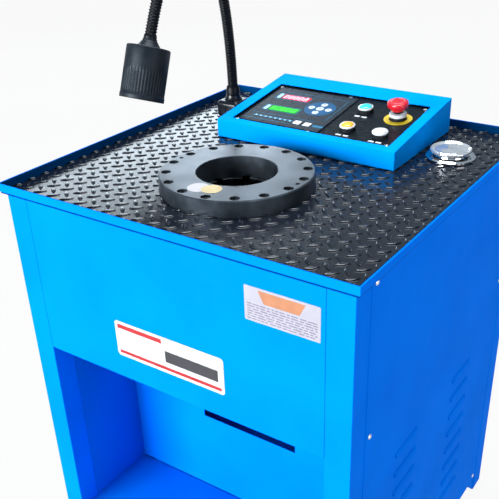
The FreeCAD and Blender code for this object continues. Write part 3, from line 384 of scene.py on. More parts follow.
def lathe(name, profile, matrix, steps, wave=None):
    """Closed surface of revolution from (radius, height) points, from axis to axis or round a ring.

    A wave of (radius, height, angle) gives a change of radius, for flutes and knurls.
    """
    points = []
    rows = []
    for radius, height in profile:
        if radius < 1e-9:
            rows.append([len(points)])
            points.append((0, 0, height))
            continue
        row = []
        for i in range(steps):
            angle = 2 * math.pi * i / steps
            reach = radius + (wave(radius, height, angle) if wave else 0)
            row.append(len(points))
            points.append((reach * math.cos(angle), reach * math.sin(angle), height))
        rows.append(row)
    faces = []
    closed = profile[0][0] > 1e-9 and profile[-1][0] > 1e-9
    pairs = list(zip(rows, rows[1:]))
    if closed:
        pairs.append((rows[-1], rows[0]))
    for low, high in pairs:
        for i in range(steps):
            j = (i + 1) % steps
            if len(low) == 1 and len(high) > 1:
                faces.append((low[0], high[i], high[j]))
            elif len(high) == 1 and len(low) > 1:
                faces.append((low[i], low[j], high[0]))
            elif len(low) > 1:
                faces.append((low[i], low[j], high[j], high[i]))
    return mesh_of(name, points, faces, matrix)


def prism(outline, low, high):
    """Points and faces of a straight prism over an outline."""
    count = len(outline)
    points = [(x, y, low) for x, y in outline] + [(x, y, high) for x, y in outline]
    faces = [tuple(range(count - 1, -1, -1)), tuple(range(count, 2 * count))]
    faces += [(i, (i + 1) % count, count + (i + 1) % count, count + i) for i in range(count)]
    return points, faces


def merged(name, parts, matrix=None):
    """One mesh from several (points, faces) parts."""
    points = []
    faces = []
    for part_points, part_faces in parts:
        start = len(points)
        points += part_points
        faces += [tuple(start + i for i in face) for face in part_faces]
    return mesh_of(name, points, faces, matrix)


def rounded_box(x, y, radius, steps=6):
    """Outline of a rectangle between two pairs of sides, with round corners."""
    outline = []
    middles = (
        (x[1] - radius, y[1] - radius, 0), (x[0] + radius, y[1] - radius, 90),
        (x[0] + radius, y[0] + radius, 180), (x[1] - radius, y[0] + radius, 270),
    )
    for cx, cy, start in middles:
        for i in range(steps + 1):
            angle = math.radians(start + 90 * i / steps)
            outline.append((cx + radius * math.cos(angle), cy + radius * math.sin(angle)))
    return outline


def disc(x, y, radius, steps=40):
    angles = [2 * math.pi * i / steps for i in range(steps)]
    return [(x + radius * math.cos(a), y + radius * math.sin(a)) for a in angles]


def bars(boxes, low, high):
    """Straight bars over (x0, y0, x1, y1) boxes."""
    return [prism([(x0, y0), (x1, y0), (x1, y1), (x0, y1)], low, high) for x0, y0, x1, y1 in boxes]


def punched(loops, top, bottom):
    """Open bmesh of a flat plate: the first loop is its outline, the others are holes."""
    shell = bmesh.new()
    edges = []
    for loop in loops:
        corners = [shell.verts.new((x, y, top)) for x, y in loop]
        edges += [shell.edges.new((corners[i - 1], corners[i])) for i in range(len(corners))]
    bmesh.ops.triangle_fill(shell, edges=edges, use_beauty=True)
    made = bmesh.ops.extrude_face_region(shell, geom=shell.faces[:])
    pushed = [p for p in made["geom"] if isinstance(p, bmesh.types.BMVert)]
    bmesh.ops.translate(shell, verts=pushed, vec=(0, 0, bottom - top))
    bmesh.ops.recalc_face_normals(shell, faces=shell.faces)
    return shell


def printed(name, parts, look, matrix=None, body="cabinet"):
    """Adds a flat-shaded piece made of (points, faces) parts."""
    return piece(name, merged(name, parts, matrix), look, body, smooth=False)


def turned(name, profile, place, steps, look, body):
    """Adds a smooth piece turned from a profile in millimetres."""
    return piece(name, lathe(name, mm(profile), place, steps), look, body)


def soften(item, width):
    """Rounds the sharp edges of a frame node."""
    join = item.modifiers.new("weld", "WELD")
    join.merge_threshold = 0.00002
    bevel = item.modifiers.new("bevel", "BEVEL")
    bevel.width = width
    bevel.segments = 2
    bevel.limit_method = "ANGLE"
    bevel.angle_limit = math.radians(30)
    bevel.use_clamp_overlap = False
    even = item.modifiers.new("even", "WEIGHTED_NORMAL")
    even.keep_sharp = True


def flatten(item):
    """Joins the coplanar triangles of a sheet, so that its bevel leaves no crease."""
    flat = item.modifiers.new("flat", "DECIMATE")
    flat.decimate_type = "DISSOLVE"
    flat.angle_limit = math.radians(0.2)


def dress(node, look, width=None):
    """Gives a frame node its material, and rounded edges if a width is given."""
    item = nodes[node]
    item.data.materials.clear()
    item.data.materials.append(look.material)
    if width:
        soften(item, width)


# ---------------------------------------------------------------- shared looks

head = centre_of("head_flange")
PAINT = powder_coat("powder_blue", *BLUES)
# The console gets a lighter, greener copy of the blue paint: painted light for its well-lit faces.
CONSOLE_LIT_PAINT = powder_coat("powder_console_painted_light", (0.0, 0.18, 0.58), (0.0, 0.198, 0.64))
# The recess panels get a darker copy of the blue paint: painted shade inside the recess.
BAY_SHADED_PAINT = powder_coat("powder_bay_painted_shade", (0.0, 0.114, 0.54), (0.0, 0.128, 0.58))
RUBBER = plastic("rubber_black", (0.004, 0.006, 0.011), 0.15, 0.23, depth=0.0001, Specular_IOR_Level=0.44)
NECK = plastic("neck_black", (0.0015, 0.002, 0.004), 0.34, 0.46, Specular_IOR_Level=0.13)
FOOT = plastic("foot_black", (0.002, 0.003, 0.006), 0.2, 0.32, Specular_IOR_Level=0.25)
DARK = plastic("plastic_dark", (0.006, 0.008, 0.011), 0.36, 0.5, Specular_IOR_Level=0.2)
OXIDE = metal("steel_oxide", (0.025, 0.028, 0.032), (0.06, 0.065, 0.072), 0.3, 0.45)
FACED = turned_steel("steel_faced", head, (0.034, 0.044, 0.057), (0.078, 0.095, 0.116), 0.26, 0.4)
STEEL = metal("steel_machined", (0.34, 0.35, 0.36), (0.5, 0.51, 0.53), 0.25, 0.4)
ZINC = metal("steel_zinc", (0.55, 0.56, 0.58), (0.75, 0.76, 0.78), 0.2, 0.35, scale=120)
CAP_PLATE = metal("cap_plated", (0.7, 0.72, 0.75), (0.86, 0.87, 0.89), 0.08, 0.15, scale=40, metallic=0.84)
CHROME = metal("chrome_bright", (0.78, 0.79, 0.81), (0.9, 0.91, 0.92), 0.06, 0.14, scale=40)
FILM = plastic("film_black", (0.004, 0.006, 0.009), 0.22, 0.32, depth=0.00003, Specular_IOR_Level=0.09)
FACE = plastic("film_grey", (0.012, 0.018, 0.026), 0.24, 0.34, depth=0.00003, Specular_IOR_Level=0.1)
WHITE = plastic("plastic_white", (0.42, 0.435, 0.45), 0.25, 0.35, spread=0.94)
RED = plastic("plastic_red", (0.42, 0.004, 0.012), 0.2, 0.3, spread=0.85)
PINK = plastic("print_pink", (0.55, 0.1, 0.12), 0.3, 0.4, spread=0.9)
YELLOW = plastic("plastic_yellow", (0.44, 0.31, 0.008), 0.3, 0.42, spread=0.9)
GREY_PAINT = plastic("paint_grey", (0.22, 0.25, 0.29), 0.4, 0.55)
CAST = metal("alloy_cast", (0.3, 0.32, 0.34), (0.46, 0.48, 0.5), 0.4, 0.6, scale=90)
SEAL = plastic("rubber_seal", (0.02, 0.02, 0.02), 0.5, 0.6)


TRAY_HEM = 2.4 * MM


def frame_looks():
    """Materials and edge rounding of the frame nodes that stay."""
    sheets = {
        "corner_posts": 0.0008, "upper_rails": 0.001, "base_rails": 0.001, "top_tray": 0.0009,
        "front_panel": 0.0006, "toe_panel": 0.0006, "left_side_panel": 0.0006, "right_side_panel": 0.0006,
        "rear_panel": 0.0006, "recess_back_panel": 0.0006, "recess_panels": 0.0003, "console_shell": 0.0014,
        "oil_tank": 0.002,
    }
    for node in ("left_side_panel", "right_side_panel"):
        flatten(nodes[node])
    tray_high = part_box("top_tray")[1]
    # The tray's inner walls and floor get painted shade, a dark navy standing in for the shade that falls
    # there.
    painted_shade_tray = shaded_tray_coat("powder_tray_painted_shade", (0.0, 0.03, 0.11), tray_high.x - TRAY_HEM, tray_high.y - TRAY_HEM)
    own = {"console_shell": CONSOLE_LIT_PAINT, "recess_panels": BAY_SHADED_PAINT, "top_tray": painted_shade_tray}
    for node, width in sheets.items():
        dress(node, own.get(node, PAINT), width)
    plain = {
        "head_flange": FACED, "head_cylinder": OXIDE, "flange_bolts": OXIDE, "ring_piston": STEEL,
        "piston_seals": SEAL, "panel_plate": FILM, "controller_face": FACE, "contact_blocks": DARK,
        "estop_stem": DARK, "filler_neck": CHROME, "cap_gasket": SEAL,
        "drive_motor": GREY_PAINT, "hydraulic_pump": CAST, "valve_block": CAST, "pressure_pipe": ZINC,
        "electrical_box": GREY_PAINT, "power_inlet": DARK, "cover_screws": ZINC,
    }
    for node, look in plain.items():
        dress(node, look)
    for number in range(1, 9):
        dress(f"die_shoe_{number}", OXIDE, 0.0004)
    for node in ("electrical_box", "valve_block"):
        soften(nodes[node], 0.0015)


# ---------------------------------------------------------------- rubber mat

MAT_PITCH = 31.8 * MM
PAD_LONG = 24.5 * MM
PAD_WIDE = 8.2 * MM
PAD_TALL = 1.9 * MM
HEAD_HOLE = 134.5 * MM
FILLER_HOLE = 29 * MM


def pad_mesh(side, steps):
    """Lens-shaped pad on the mat: an outline with pointed ends, a shoulder and a crown."""
    rows = ((1.0, 0.0), (0.82, 0.75), (0.5, 0.97))
    outline = []
    for i in range(steps):
        along = -math.cos(math.pi * i / steps)
        outline.append((along, 1 - along * along))
    outline += [(-a, -w) for a, w in outline]
    points = []
    for share, height in rows:
        for along, across in outline:
            point = Vector((along * PAD_LONG / 2 * (0.5 + share / 2), across * PAD_WIDE / 2 * share, 0))
            point.rotate(Matrix.Rotation(math.radians(45 * side), 3, "Z"))
            points.append((point.x, point.y, height * PAD_TALL))
    count = len(outline)
    faces = []
    for row in range(len(rows) - 1):
        for i in range(count):
            j = (i + 1) % count
            a = row * count
            faces.append((a + i, a + j, a + count + j, a + count + i))
    top = (len(rows) - 1) * count
    faces.append(tuple(top + i for i in range(count)))
    return points, faces


def rubber_mat():
    """Sheet with two holes and rows of crossed pads, trimmed where they meet an edge."""
    low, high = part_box("rubber_mat")
    base = high.z - PAD_TALL
    holes = ((head, HEAD_HOLE), (centre_of("filler_neck"), FILLER_HOLE))

    def trimmed(point):
        """Keeps a point on the mat: inside its edge and out of its two holes."""
        x = min(max(point.x, low.x), high.x)
        y = min(max(point.y, low.y), high.y)
        for centre, radius in holes:
            away = Vector((x - centre.x, y - centre.y))
            if away.length < radius:
                away = away.normalized() * radius
                x, y = centre.x + away.x, centre.y + away.y
        return x, y, point.z

    loops = [[(low.x, low.y), (high.x, low.y), (high.x, high.y), (low.x, high.y)]]
    loops += [disc(c.x, c.y, r, 96) for c, r in holes]
    shell = punched(loops, base, low.z)
    reach = PAD_LONG / 4
    columns = range(math.floor(low.x / MAT_PITCH), math.ceil(high.x / MAT_PITCH) + 1)
    rows = range(math.floor(low.y / MAT_PITCH), math.ceil(high.y / MAT_PITCH) + 1)
    for side, shift in ((1, 0.0), (-1, 0.5)):
        points, faces = pad_mesh(side, 7)
        for column in columns:
            for row in rows:
                centre = Vector(((column + shift) * MAT_PITCH, (row + shift) * MAT_PITCH, base))
                across = low.x - reach < centre.x < high.x + reach
                if not (across and low.y - reach < centre.y < high.y + reach):
                    continue
                if any((centre - c).to_2d().length < r - reach for c, r in holes):
                    continue
                corners = [shell.verts.new(trimmed(centre + Vector(p))) for p in points]
                for face in faces:
                    shell.faces.new([corners[i] for i in face])
    mesh = bpy.data.meshes.new("mat_rubber")
    shell.to_mesh(mesh)
    shell.free()
    item = piece("mat_rubber", mesh, RUBBER, "cabinet", sharp=60)
    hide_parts("rubber_mat")


# ---------------------------------------------------------------- console

PANEL_SLOPE = math.radians(7.4)
PLATE_TOP = -5 * MM
FACE_THICK = 2 * MM
console_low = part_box("console_shell")[0]
PANEL_FRONT = Vector((0, console_low.y, console_low.z + 34.5 * MM))
UP_SLOPE = Vector((0, math.cos(PANEL_SLOPE), math.sin(PANEL_SLOPE)))


def on_panel(x, v, rise=0.0):
    """Matrix whose Z leaves the sloping top at x across and v up the slope."""
    turn = Matrix.Rotation(PANEL_SLOPE, 4, "X")
    place = Matrix.Translation(PANEL_FRONT)
    return place @ turn @ Matrix.Translation((x, v, rise))


def panel_spot(node):
    """(across, up the slope) of the middle of a node on the panel."""
    middle = centre_of(node)
    return middle.x, (middle - PANEL_FRONT).dot(UP_SLOPE)


LENSES = (
    ("green_button", "lens_green", (0.01, 0.42, 0.47)),
    ("amber_button", "lens_amber", (0.7, 0.27, 0.008)),
    ("white_button", "lens_white", (0.56, 0.58, 0.57)),
)
LENS_RADIUS = 11.2 * MM
LENS_FOOT = -14 * MM
LENS_CROWN = 8.5 * MM
LENS_EDGE = 2.6 * MM
BEZEL = [
    (11.6, -5), (13.2, -5), (13.2, 2.2), (15, 3), (15, 4.9), (14.2, 5.9), (13.2, 6), (12.2, 5.4), (11.6, 4.4),
]
BEZEL_NUT = [(13.25, -5), (14.9, -5), (14.9, 1.6), (14.4, 2.2), (13.25, 2.2)]


def knurl(radius, height, angle):
    """Ripple of the nut's outer side."""
    return 0.25 * MM * math.cos(24 * angle) if radius > 14 * MM else 0


def buttons():
    """Domed lenses with faint rings, in white bezels with a black knurled nut below."""
    rim = []
    collars = []
    for node, slot, colour in LENSES:
        spot = on_panel(*panel_spot(node))
        look = plastic(
            slot + "_look", colour, 0.16, 0.26, spread=0.8, Coat_Weight=0.5,
            Emission_Color=(*colour, 1), Emission_Strength=0.3,
        )
        bumpy(look, rings(look, spot.translation, 0.0016), 0.0002, 0.3)
        profile = [(0, LENS_FOOT), (LENS_RADIUS, LENS_FOOT), (LENS_RADIUS, LENS_CROWN - LENS_EDGE)]
        for i in range(6):
            angle = math.radians(90 * i / 6)
            rise = LENS_CROWN - LENS_EDGE * (1 - math.sin(angle))
            profile.append((LENS_RADIUS * math.cos(angle) ** 0.55, rise))
        profile.append((0, LENS_CROWN))
        item = piece(node + "_lens", lathe(node + "_lens", profile, spot, 64), look, node)
        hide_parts(node)
        rim.append(lathe("ring", mm(BEZEL), spot, 64))
        collars.append(lathe("nut", mm(BEZEL_NUT), spot, 192, knurl))
    item = piece("bezel_rings", joined("bezel_rings", rim), WHITE, "cabinet")
    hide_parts("button_bezels")
    piece("bezel_nuts", joined("bezel_nuts", collars), DARK, "cabinet")


def joined(name, meshes):
    """One mesh from several meshes."""
    shell = bmesh.new()
    for mesh in meshes:
        shell.from_mesh(mesh)
    whole = bpy.data.meshes.new(name)
    shell.to_mesh(whole)
    shell.free()
    for mesh in meshes:
        bpy.data.meshes.remove(mesh)
    return whole


STOP_RADIUS = 20
STOP_SHOULDER = 26.6
STOP_NUT = [(9, -5), (15.2, -5), (15.2, 1.9), (14.6, 2.4), (9, 2.4)]
STOP_COLLAR = [(9, 2.4), (15.9, 2.4), (16.5, 3), (16.5, 7.4), (15.6, 8.6), (12.4, 9), (9, 9)]
STOP_PLATE = [(17, -5), (27, -5), (27, -3.8), (26.6, -3.5), (17, -3.5)]
ARROW_FOOT = 31.0 * MM
ARROW_TOP = 31.75 * MM


def emergency_stop():
    """Mushroom head with three arrows, its nut, its collar and its round plate."""
    spot = on_panel(*panel_spot("estop_head"))
    profile = [(0, 20.4), (5.1, 20.4), (5.1, 14.2), (12.6, 14.2), (13.2, 17.7)]
    for i in range(5):
        angle = math.radians(90 * i / 4)
        profile.append((STOP_RADIUS - 5.4 * (1 - math.sin(angle)), 22.8 - 3.2 * math.cos(angle)))
    profile.append((STOP_RADIUS, STOP_SHOULDER))
    for i in range(1, 7):
        angle = math.radians(90 * i / 6)
        reach = STOP_RADIUS * (0.86 + 0.14 * math.cos(angle))
        profile.append((reach, STOP_SHOULDER + 4.4 * math.sin(angle)))
    profile += [(STOP_RADIUS * 0.6, 31.6), (0, 32)]
    item = turned("stop_mushroom", profile, spot, 96, RED, "estop_head")
    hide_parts("estop_head")
    arrows = []
    for turn in range(3):
        start = math.radians(120 * turn + 15)
        spread = [start + math.radians(70) * i / 10 for i in range(11)]
        tip = spread[-1]
        shaft = [(13.6, a) for a in spread] + [(11.2, a) for a in reversed(spread)]
        nose = [(9.8, tip), (15, tip), (12.4, tip + math.radians(24))]
        for polar in (shaft, nose):
            outline = mm((r * math.cos(a), r * math.sin(a)) for r, a in polar)
            arrows.append(prism(outline, ARROW_FOOT, ARROW_TOP))
    printed("stop_arrows", arrows, PINK, spot, "estop_head")
    turned("stop_nut", STOP_NUT, spot, 96, DARK, "cabinet")
    item = turned("stop_collar", STOP_COLLAR, spot, 96, WHITE, "cabinet")
    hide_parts("estop_collar")
    item = turned("stop_plate", STOP_PLATE, spot, 96, YELLOW, "cabinet")
    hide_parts("estop_legend")


SEGMENTS = {
    "top": (0.0, 1.0, 1.0, 1.0), "middle": (0.0, 0.5, 1.0, 0.5), "bottom": (0.0, 0.0, 1.0, 0.0),
    "upper_left": (0.0, 0.5, 0.0, 1.0), "upper_right": (1.0, 0.5, 1.0, 1.0),
    "lower_left": (0.0, 0.0, 0.0, 0.5), "lower_right": (1.0, 0.0, 1.0, 0.5),
}
LIT = {
    "0": ("top", "bottom", "upper_left", "upper_right", "lower_left", "lower_right"),
    "8": tuple(SEGMENTS),
}


def digits(text, x, v, wide, tall, step, rise):
    """Seven-segment digits as thin raised bars, (points, faces) parts in panel coordinates."""
    parts = []
    bar = wide * 0.2
    lean = 0.12 * tall
    for place, digit in enumerate(text):
        for name in LIT[digit]:
            x0, y0, x1, y1 = SEGMENTS[name]
            start = (x + place * step + x0 * wide + y0 * lean, v + y0 * tall)
            end = (x + place * step + x1 * wide + y1 * lean, v + y1 * tall)
            flat = y0 == y1
            dx, dy = (0, bar / 2) if flat else (bar / 2, 0)
            gap = bar * 0.35
            ex, ey = (gap, 0) if flat else (0, gap)
            outline = [
                (start[0] - dx + ex, start[1] - dy + ey), (end[0] - dx - ex, end[1] - dy - ey),
                (end[0] + dx - ex, end[1] + dy - ey), (start[0] + dx + ex, start[1] + dy + ey),
            ]
            parts.append(prism(outline, rise, rise + 0.15 * MM))
    return parts


TAB_WIDE = 12 * MM
RED_WINDOW = ((-142, -66), (138, 160))
GREEN_WINDOW = ((-138, -60), (81, 103))
FACE_TOP = PLATE_TOP + FACE_THICK
PANE_TOP = FACE_TOP + 0.3 * MM
PANE_FILM = PANE_TOP + 0.1 * MM
PANE_EDGE = 0.5 * MM
PRINT = 0.12 * MM


def displays():
    """Dark windows, each with a lit film, its digits, a pale tab and a printed frame."""
    red = glow("display_red", (0.3, 0.01, 0.02), (0.85, 0.01, 0.07), 0.5, 0.15)
    green = glow("display_green", (0.01, 0.2, 0.02), (0.0, 0.32, 0.01), 0.6, 0.15)
    tint = plastic("display_tint", (0.004, 0.01, 0.016), 0.12, 0.2, depth=0.00002, Specular_IOR_Level=0.2)
    dress("display_windows", tint)
    flat = on_panel(0, 0)
    for name, window, look, colour, text in (
        ("red", RED_WINDOW, red, (1.0, 0.5, 0.6), "88888"),
        ("green", GREEN_WINDOW, green, (0.03, 0.5, 0.03), "80808"),
    ):
        (x0, x1), (v0, v1) = mm(window)
        lit = x0 + TAB_WIDE
        span = (v0 + PANE_EDGE, v1 - PANE_EDGE)
        outline = rounded_box((lit, x1 - PANE_EDGE), span, 2 * MM)
        tab = rounded_box((x0 + PANE_EDGE, lit - 2.5 * MM), span, 3.5 * MM)
        printed(name + "_tab", [prism(tab, PANE_TOP, PANE_FILM)], PRINT_PALE, flat)
        printed(name + "_pane", [prism(outline, PANE_TOP, PANE_FILM)], look, flat)
        bright = glow(name + "_lit", colour, colour, 1.3)
        step = (x1 - lit - 7 * MM) / 5
        wide = step * 0.62
        parts = digits(text, lit + 3.5 * MM, v0 + 4.4 * MM, wide, 13 * MM, step, PANE_FILM)
        printed(name + "_digits", parts, bright, flat)
        far, near = 2.5 * MM, 1 * MM
        rim = [
            (x0 - far, v0 - far, x1 + far, v0 - near), (x0 - far, v1 + near, x1 + far, v1 + far),
            (x0 - far, v0 - near, x0 - near, v1 + near), (x1 + near, v0 - near, x1 + far, v1 + near),
        ]
        printed(name + "_frame", bars(rim, FACE_TOP, FACE_TOP + PRINT), PRINT_BLUE, flat)


PRINT_BLUE = plastic("print_blue", (0.008, 0.1, 0.19), 0.3, 0.4, Specular_IOR_Level=0.15)
PRINT_DEEP = plastic("print_deep", (0.001, 0.05, 0.13), 0.3, 0.4, Specular_IOR_Level=0.12)
PRINT_PALE = plastic("print_pale", (0.24, 0.46, 0.6), 0.3, 0.4, Specular_IOR_Level=0.2)
PRINT_WHITE = plastic("print_white", (0.46, 0.49, 0.52), 0.3, 0.4, spread=0.92)
KEY_PAD = (-27, 121, 32)
KEY_ARROWS = {"key_up": 90, "key_down": 270, "key_left": 180, "key_right": 0}
KEYS = ("key_set", *KEY_ARROWS)
KEY_HOLE = 5.7 * MM
KEY_RISE = 0.8 * MM
FACE_LINES = (
    (-150, 38, -46, 39.2), (-150, 64, -5, 65), (-150, 172, 14, 173), (10, 76, 11.2, 168),
    (-140, 49.5, -48, 54), (-1, 43, 22, 51),
)


def face_print():
    """Printed disc behind the keys, lamps, squares and plain label bars."""
    flat = on_panel(0, 0)
    x, v, radius = (value * MM for value in KEY_PAD)
    spots = [panel_spot(key) for key in KEYS]
    loops = [disc(x, v, radius, 72)] + [disc(a, b, KEY_HOLE, 32) for a, b in spots]
    shell = punched(loops, FACE_TOP + PRINT, FACE_TOP)
    pad = bpy.data.meshes.new("key_pad")
    shell.to_mesh(pad)
    shell.free()
    pad.transform(flat)
    piece("key_pad", pad, PRINT_DEEP, "cabinet", smooth=False)
    rings_made = []
    for i, (a, b) in enumerate(spots):
        outer = 7.8 if i == 0 else 6.9
        section = [(5.72, 0), (outer, 0), (outer, 0.12), (5.72, 0.12)]
        rings_made.append(lathe("ring", mm(section), on_panel(a, b, FACE_TOP + PRINT), 40))
    piece("key_rings", joined("key_rings", rings_made), PRINT_WHITE, "cabinet", smooth=False)
    lamps = []
    for i in range(8):
        dot = disc((-133 + 80 / 7 * i) * MM, (52 - 0.3 * i) * MM, 2.2 * MM, 20)
        lamps.append(prism(dot, FACE_TOP, FACE_TOP + 0.5 * MM))
    printed("status_lamps", lamps, PRINT_PALE, flat)
    squares = []
    for a, b in ((-36, 49), (-13.5, 48)):
        key = rounded_box(((a - 7.5) * MM, (a + 7.5) * MM), ((b - 7) * MM, (b + 7) * MM), 1.5 * MM)
        squares.append(prism(key, FACE_TOP, FACE_TOP + 0.4 * MM))
    printed("mode_squares", squares, PRINT_WHITE, flat)
    lines = bars([[n * MM for n in box] for box in FACE_LINES], FACE_TOP, FACE_TOP + PRINT)
    printed("face_lines", lines, PRINT_BLUE, flat)
    labels = []
    for lens in LENSES:
        a, b = panel_spot(lens[0])
        for start, end in ((-12, -1), (3, 14)):
            labels.append((a + start * MM, b - 27 * MM, a + end * MM, b - 22 * MM))
    printed("label_bars", bars(labels, PLATE_TOP, PLATE_TOP + PRINT), PRINT_WHITE, flat)


def keys():
    """Film keys with a plain mark on each."""
    film = plastic("key_film", (0.44, 0.47, 0.5), 0.3, 0.4, spread=0.93)
    for key in KEYS:
        dress(key, film)
        spot = on_panel(*panel_spot(key), FACE_TOP + KEY_RISE)
        outline = disc(0, 0, 2.2 * MM, 24)
        if key in KEY_ARROWS:
            angle = math.radians(KEY_ARROWS[key])
            outline = [(3 * MM * math.cos(angle + a), 3 * MM * math.sin(angle + a)) for a in (0, 2.2, -2.2)]
        printed(key + "_mark", [prism(outline, 0, PRINT)], PRINT_BLUE, spot, body=key)


def screw_head(spot, radius, tall):
    """Low round screw head, as a mesh."""
    profile = [(0, 0), (radius, 0), (radius, tall * 0.35), (radius * 0.82, tall * 0.8)]
    profile += [(radius * 0.45, tall), (0, tall)]
    return lathe("screw", profile, spot, 28)


PANEL_SCREWS = ((-161, 193), (3, 193), (165, 193), (-161, 26), (3, 22), (165, 26))


def screws():
    """Screws of the control panel."""
    heads = [screw_head(on_panel(x, v, PLATE_TOP), 4.2 * MM, 2.0 * MM) for x, v in mm(PANEL_SCREWS)]
    piece("panel_screws", joined("panel_screws", heads), ZINC, "cabinet")


# ---------------------------------------------------------------- oil filler

def filler():
    """Chrome cap with a rolled rim and a dished top, on a plain spigot."""
    middle = centre_of("filler_cap")
    top = top_of("filler_cap")
    seat = top_of("cap_gasket")
    place = Matrix.Translation((middle.x, middle.y, 0))
    radius = 38 * MM
    profile = [(0, seat - 8 * MM), (23.6 * MM, seat - 8 * MM), (23.6 * MM, seat), (33 * MM, seat)]
    for i in range(7):
        angle = math.radians(-90 + 180 * i / 6)
        reach = radius - 2.6 * MM * (1 - math.cos(angle))
        profile.append((reach, top - 3.2 * MM * (1 - math.sin(angle))))
    profile += [(33.4 * MM, top - 0.8 * MM), (31.5 * MM, top - 2.4 * MM), (28 * MM, top - 2.9 * MM)]
    profile += [(16 * MM, top - 2.2 * MM), (6 * MM, top - 1.8 * MM), (0, top - 1.7 * MM)]
    item = piece("cap_chrome", lathe("cap_chrome", profile, place, 128), CAP_PLATE, "filler_cap")
    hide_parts("filler_cap")


# ---------------------------------------------------------------- work lamp

NECK_ROUTE = [(194, 905), (194, 1040), (147, 1213), (16, 1232), (-48.5, 1077.5)]
NECK_X = -244
NECK_RADIUS = 11 * MM
RIB_PITCH = 5.4 * MM
RIB_HEIGHT = 1.1 * MM
RIB_RINGS = 6


def smooth_line(route):
    """Points along a NURBS spline with the route as its control points."""
    data = bpy.data.curves.new("route", "CURVE")
    data.dimensions = "3D"
    data.resolution_u = 64
    spline = data.splines.new("NURBS")
    spline.points.add(len(route) - 1)
    for point, place in zip(spline.points, route):
        point.co = (*place, 1)
    spline.order_u = 3
    spline.use_endpoint_u = True
    item = bpy.data.objects.new("route", data)
    mesh = bpy.data.meshes.new_from_object(item)
    points = [v.co.copy() for v in mesh.vertices]
    bpy.data.objects.remove(item)
    bpy.data.meshes.remove(mesh)
    return points


def even_steps(points, step):
    """The same line with points an equal step apart."""
    line = [points[0]]
    left = step
    for a, b in zip(points, points[1:]):
        length = (b - a).length
        done = 0.0
        while length - done >= left:
            done += left
            line.append(a.lerp(b, done / length))
            left = step
        left -= length - done
    line.append(points[-1])
    return line


def sweep(line, radius_at, steps=24):
    """Tube along a line in the YZ plane, with a radius that may change with distance and angle."""
    points = []
    faces = []
    done = 0.0
    side = Vector((1, 0, 0))
    for i, place in enumerate(line):
        ahead = (line[min(i + 1, len(line) - 1)] - line[max(i - 1, 0)]).normalized()
        other = ahead.cross(side).normalized()
        if i:
            done += (place - line[i - 1]).length
        for k in range(steps):
            angle = 2 * math.pi * k / steps
            reach = radius_at(done, angle)
            points.append(place + side * reach * math.cos(angle) + other * reach * math.sin(angle))
    for i in range(len(line) - 1):
        for k in range(steps):
            j = (k + 1) % steps
            a, b = i * steps, (i + 1) * steps
            faces.append((a + k, a + j, b + j, b + k))
    faces.append(tuple(range(steps)))
    faces.append(tuple((len(line) - 1) * steps + k for k in range(steps)))
    return points, faces


FOOT_TALL = 34 * MM


def lamp_foot():
    """Moulded block with round edges that carries the neck."""
    low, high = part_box("lamp_base")
    top = low.z + FOOT_TALL
    block = prism(rounded_box((low.x, high.x), (low.y, high.y), 9 * MM), low.z, top)
    middle = centre_of("lamp_base")
    place = Matrix.Translation((middle.x, middle.y, top))
    collar = [(11.3, 0.5), (19, 0.5), (17.4, 2.4), (15.8, 6), (15, high.z / MM - top / MM), (11.3, 11)]
    item = piece("lamp_foot", merged("lamp_foot", [block]), FOOT, "cabinet")
    bevel = item.modifiers.new("bevel", "BEVEL")
    bevel.width = 7 * MM
    bevel.segments = 5
    bevel.angle_limit = math.radians(50)
    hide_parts("lamp_base")
    turned("foot_collar", collar, place, 64, FOOT, "cabinet")


def pivot_of(name):
    """Place of a joint of the frame."""
    return Vector(next(joint for joint in frame["joints"] if joint["name"] == name)["pos_m"])


def gooseneck():
    """One ribbed neck from the base block to the lamp, wound as a spiral."""
    route = [Vector((NECK_X, y, z)) * MM for y, z in NECK_ROUTE]
    line = even_steps(smooth_line(route), RIB_PITCH / RIB_RINGS)

    def wound(done, angle):
        wave = math.cos(2 * math.pi * done / RIB_PITCH - angle)
        return NECK_RADIUS - RIB_HEIGHT + RIB_HEIGHT * max(-0.4, wave)

    points, faces = sweep(line, wound)
    mesh = mesh_of("neck_ribbed", points, faces)
    item = piece("neck_ribbed", mesh, NECK, None, sharp=80)
    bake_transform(item)
    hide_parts("gooseneck_riser", "gooseneck_drop")
    foot = Matrix.Translation((NECK_X * MM, NECK_ROUTE[0][0] * MM, top_of("lamp_base")))
    profile = [(11.2, 1), (14.6, 1), (14.4, 9), (13.6, 12), (12.9, 17), (12, 18), (11.2, 18)]
    turned("neck_ferrule", profile, foot, 48, NECK, "neck_riser")


SHADE_TILT = math.radians(-21)
SHADE_PLACE = (-244, -55, 1059)
SHADE_RADIUS = 41
SHADE_LENGTH = 94
FLUTES = 44
FLUTE_ROWS = 10
FLUTE_TOP = -37
FLUTE_FOOT = -85


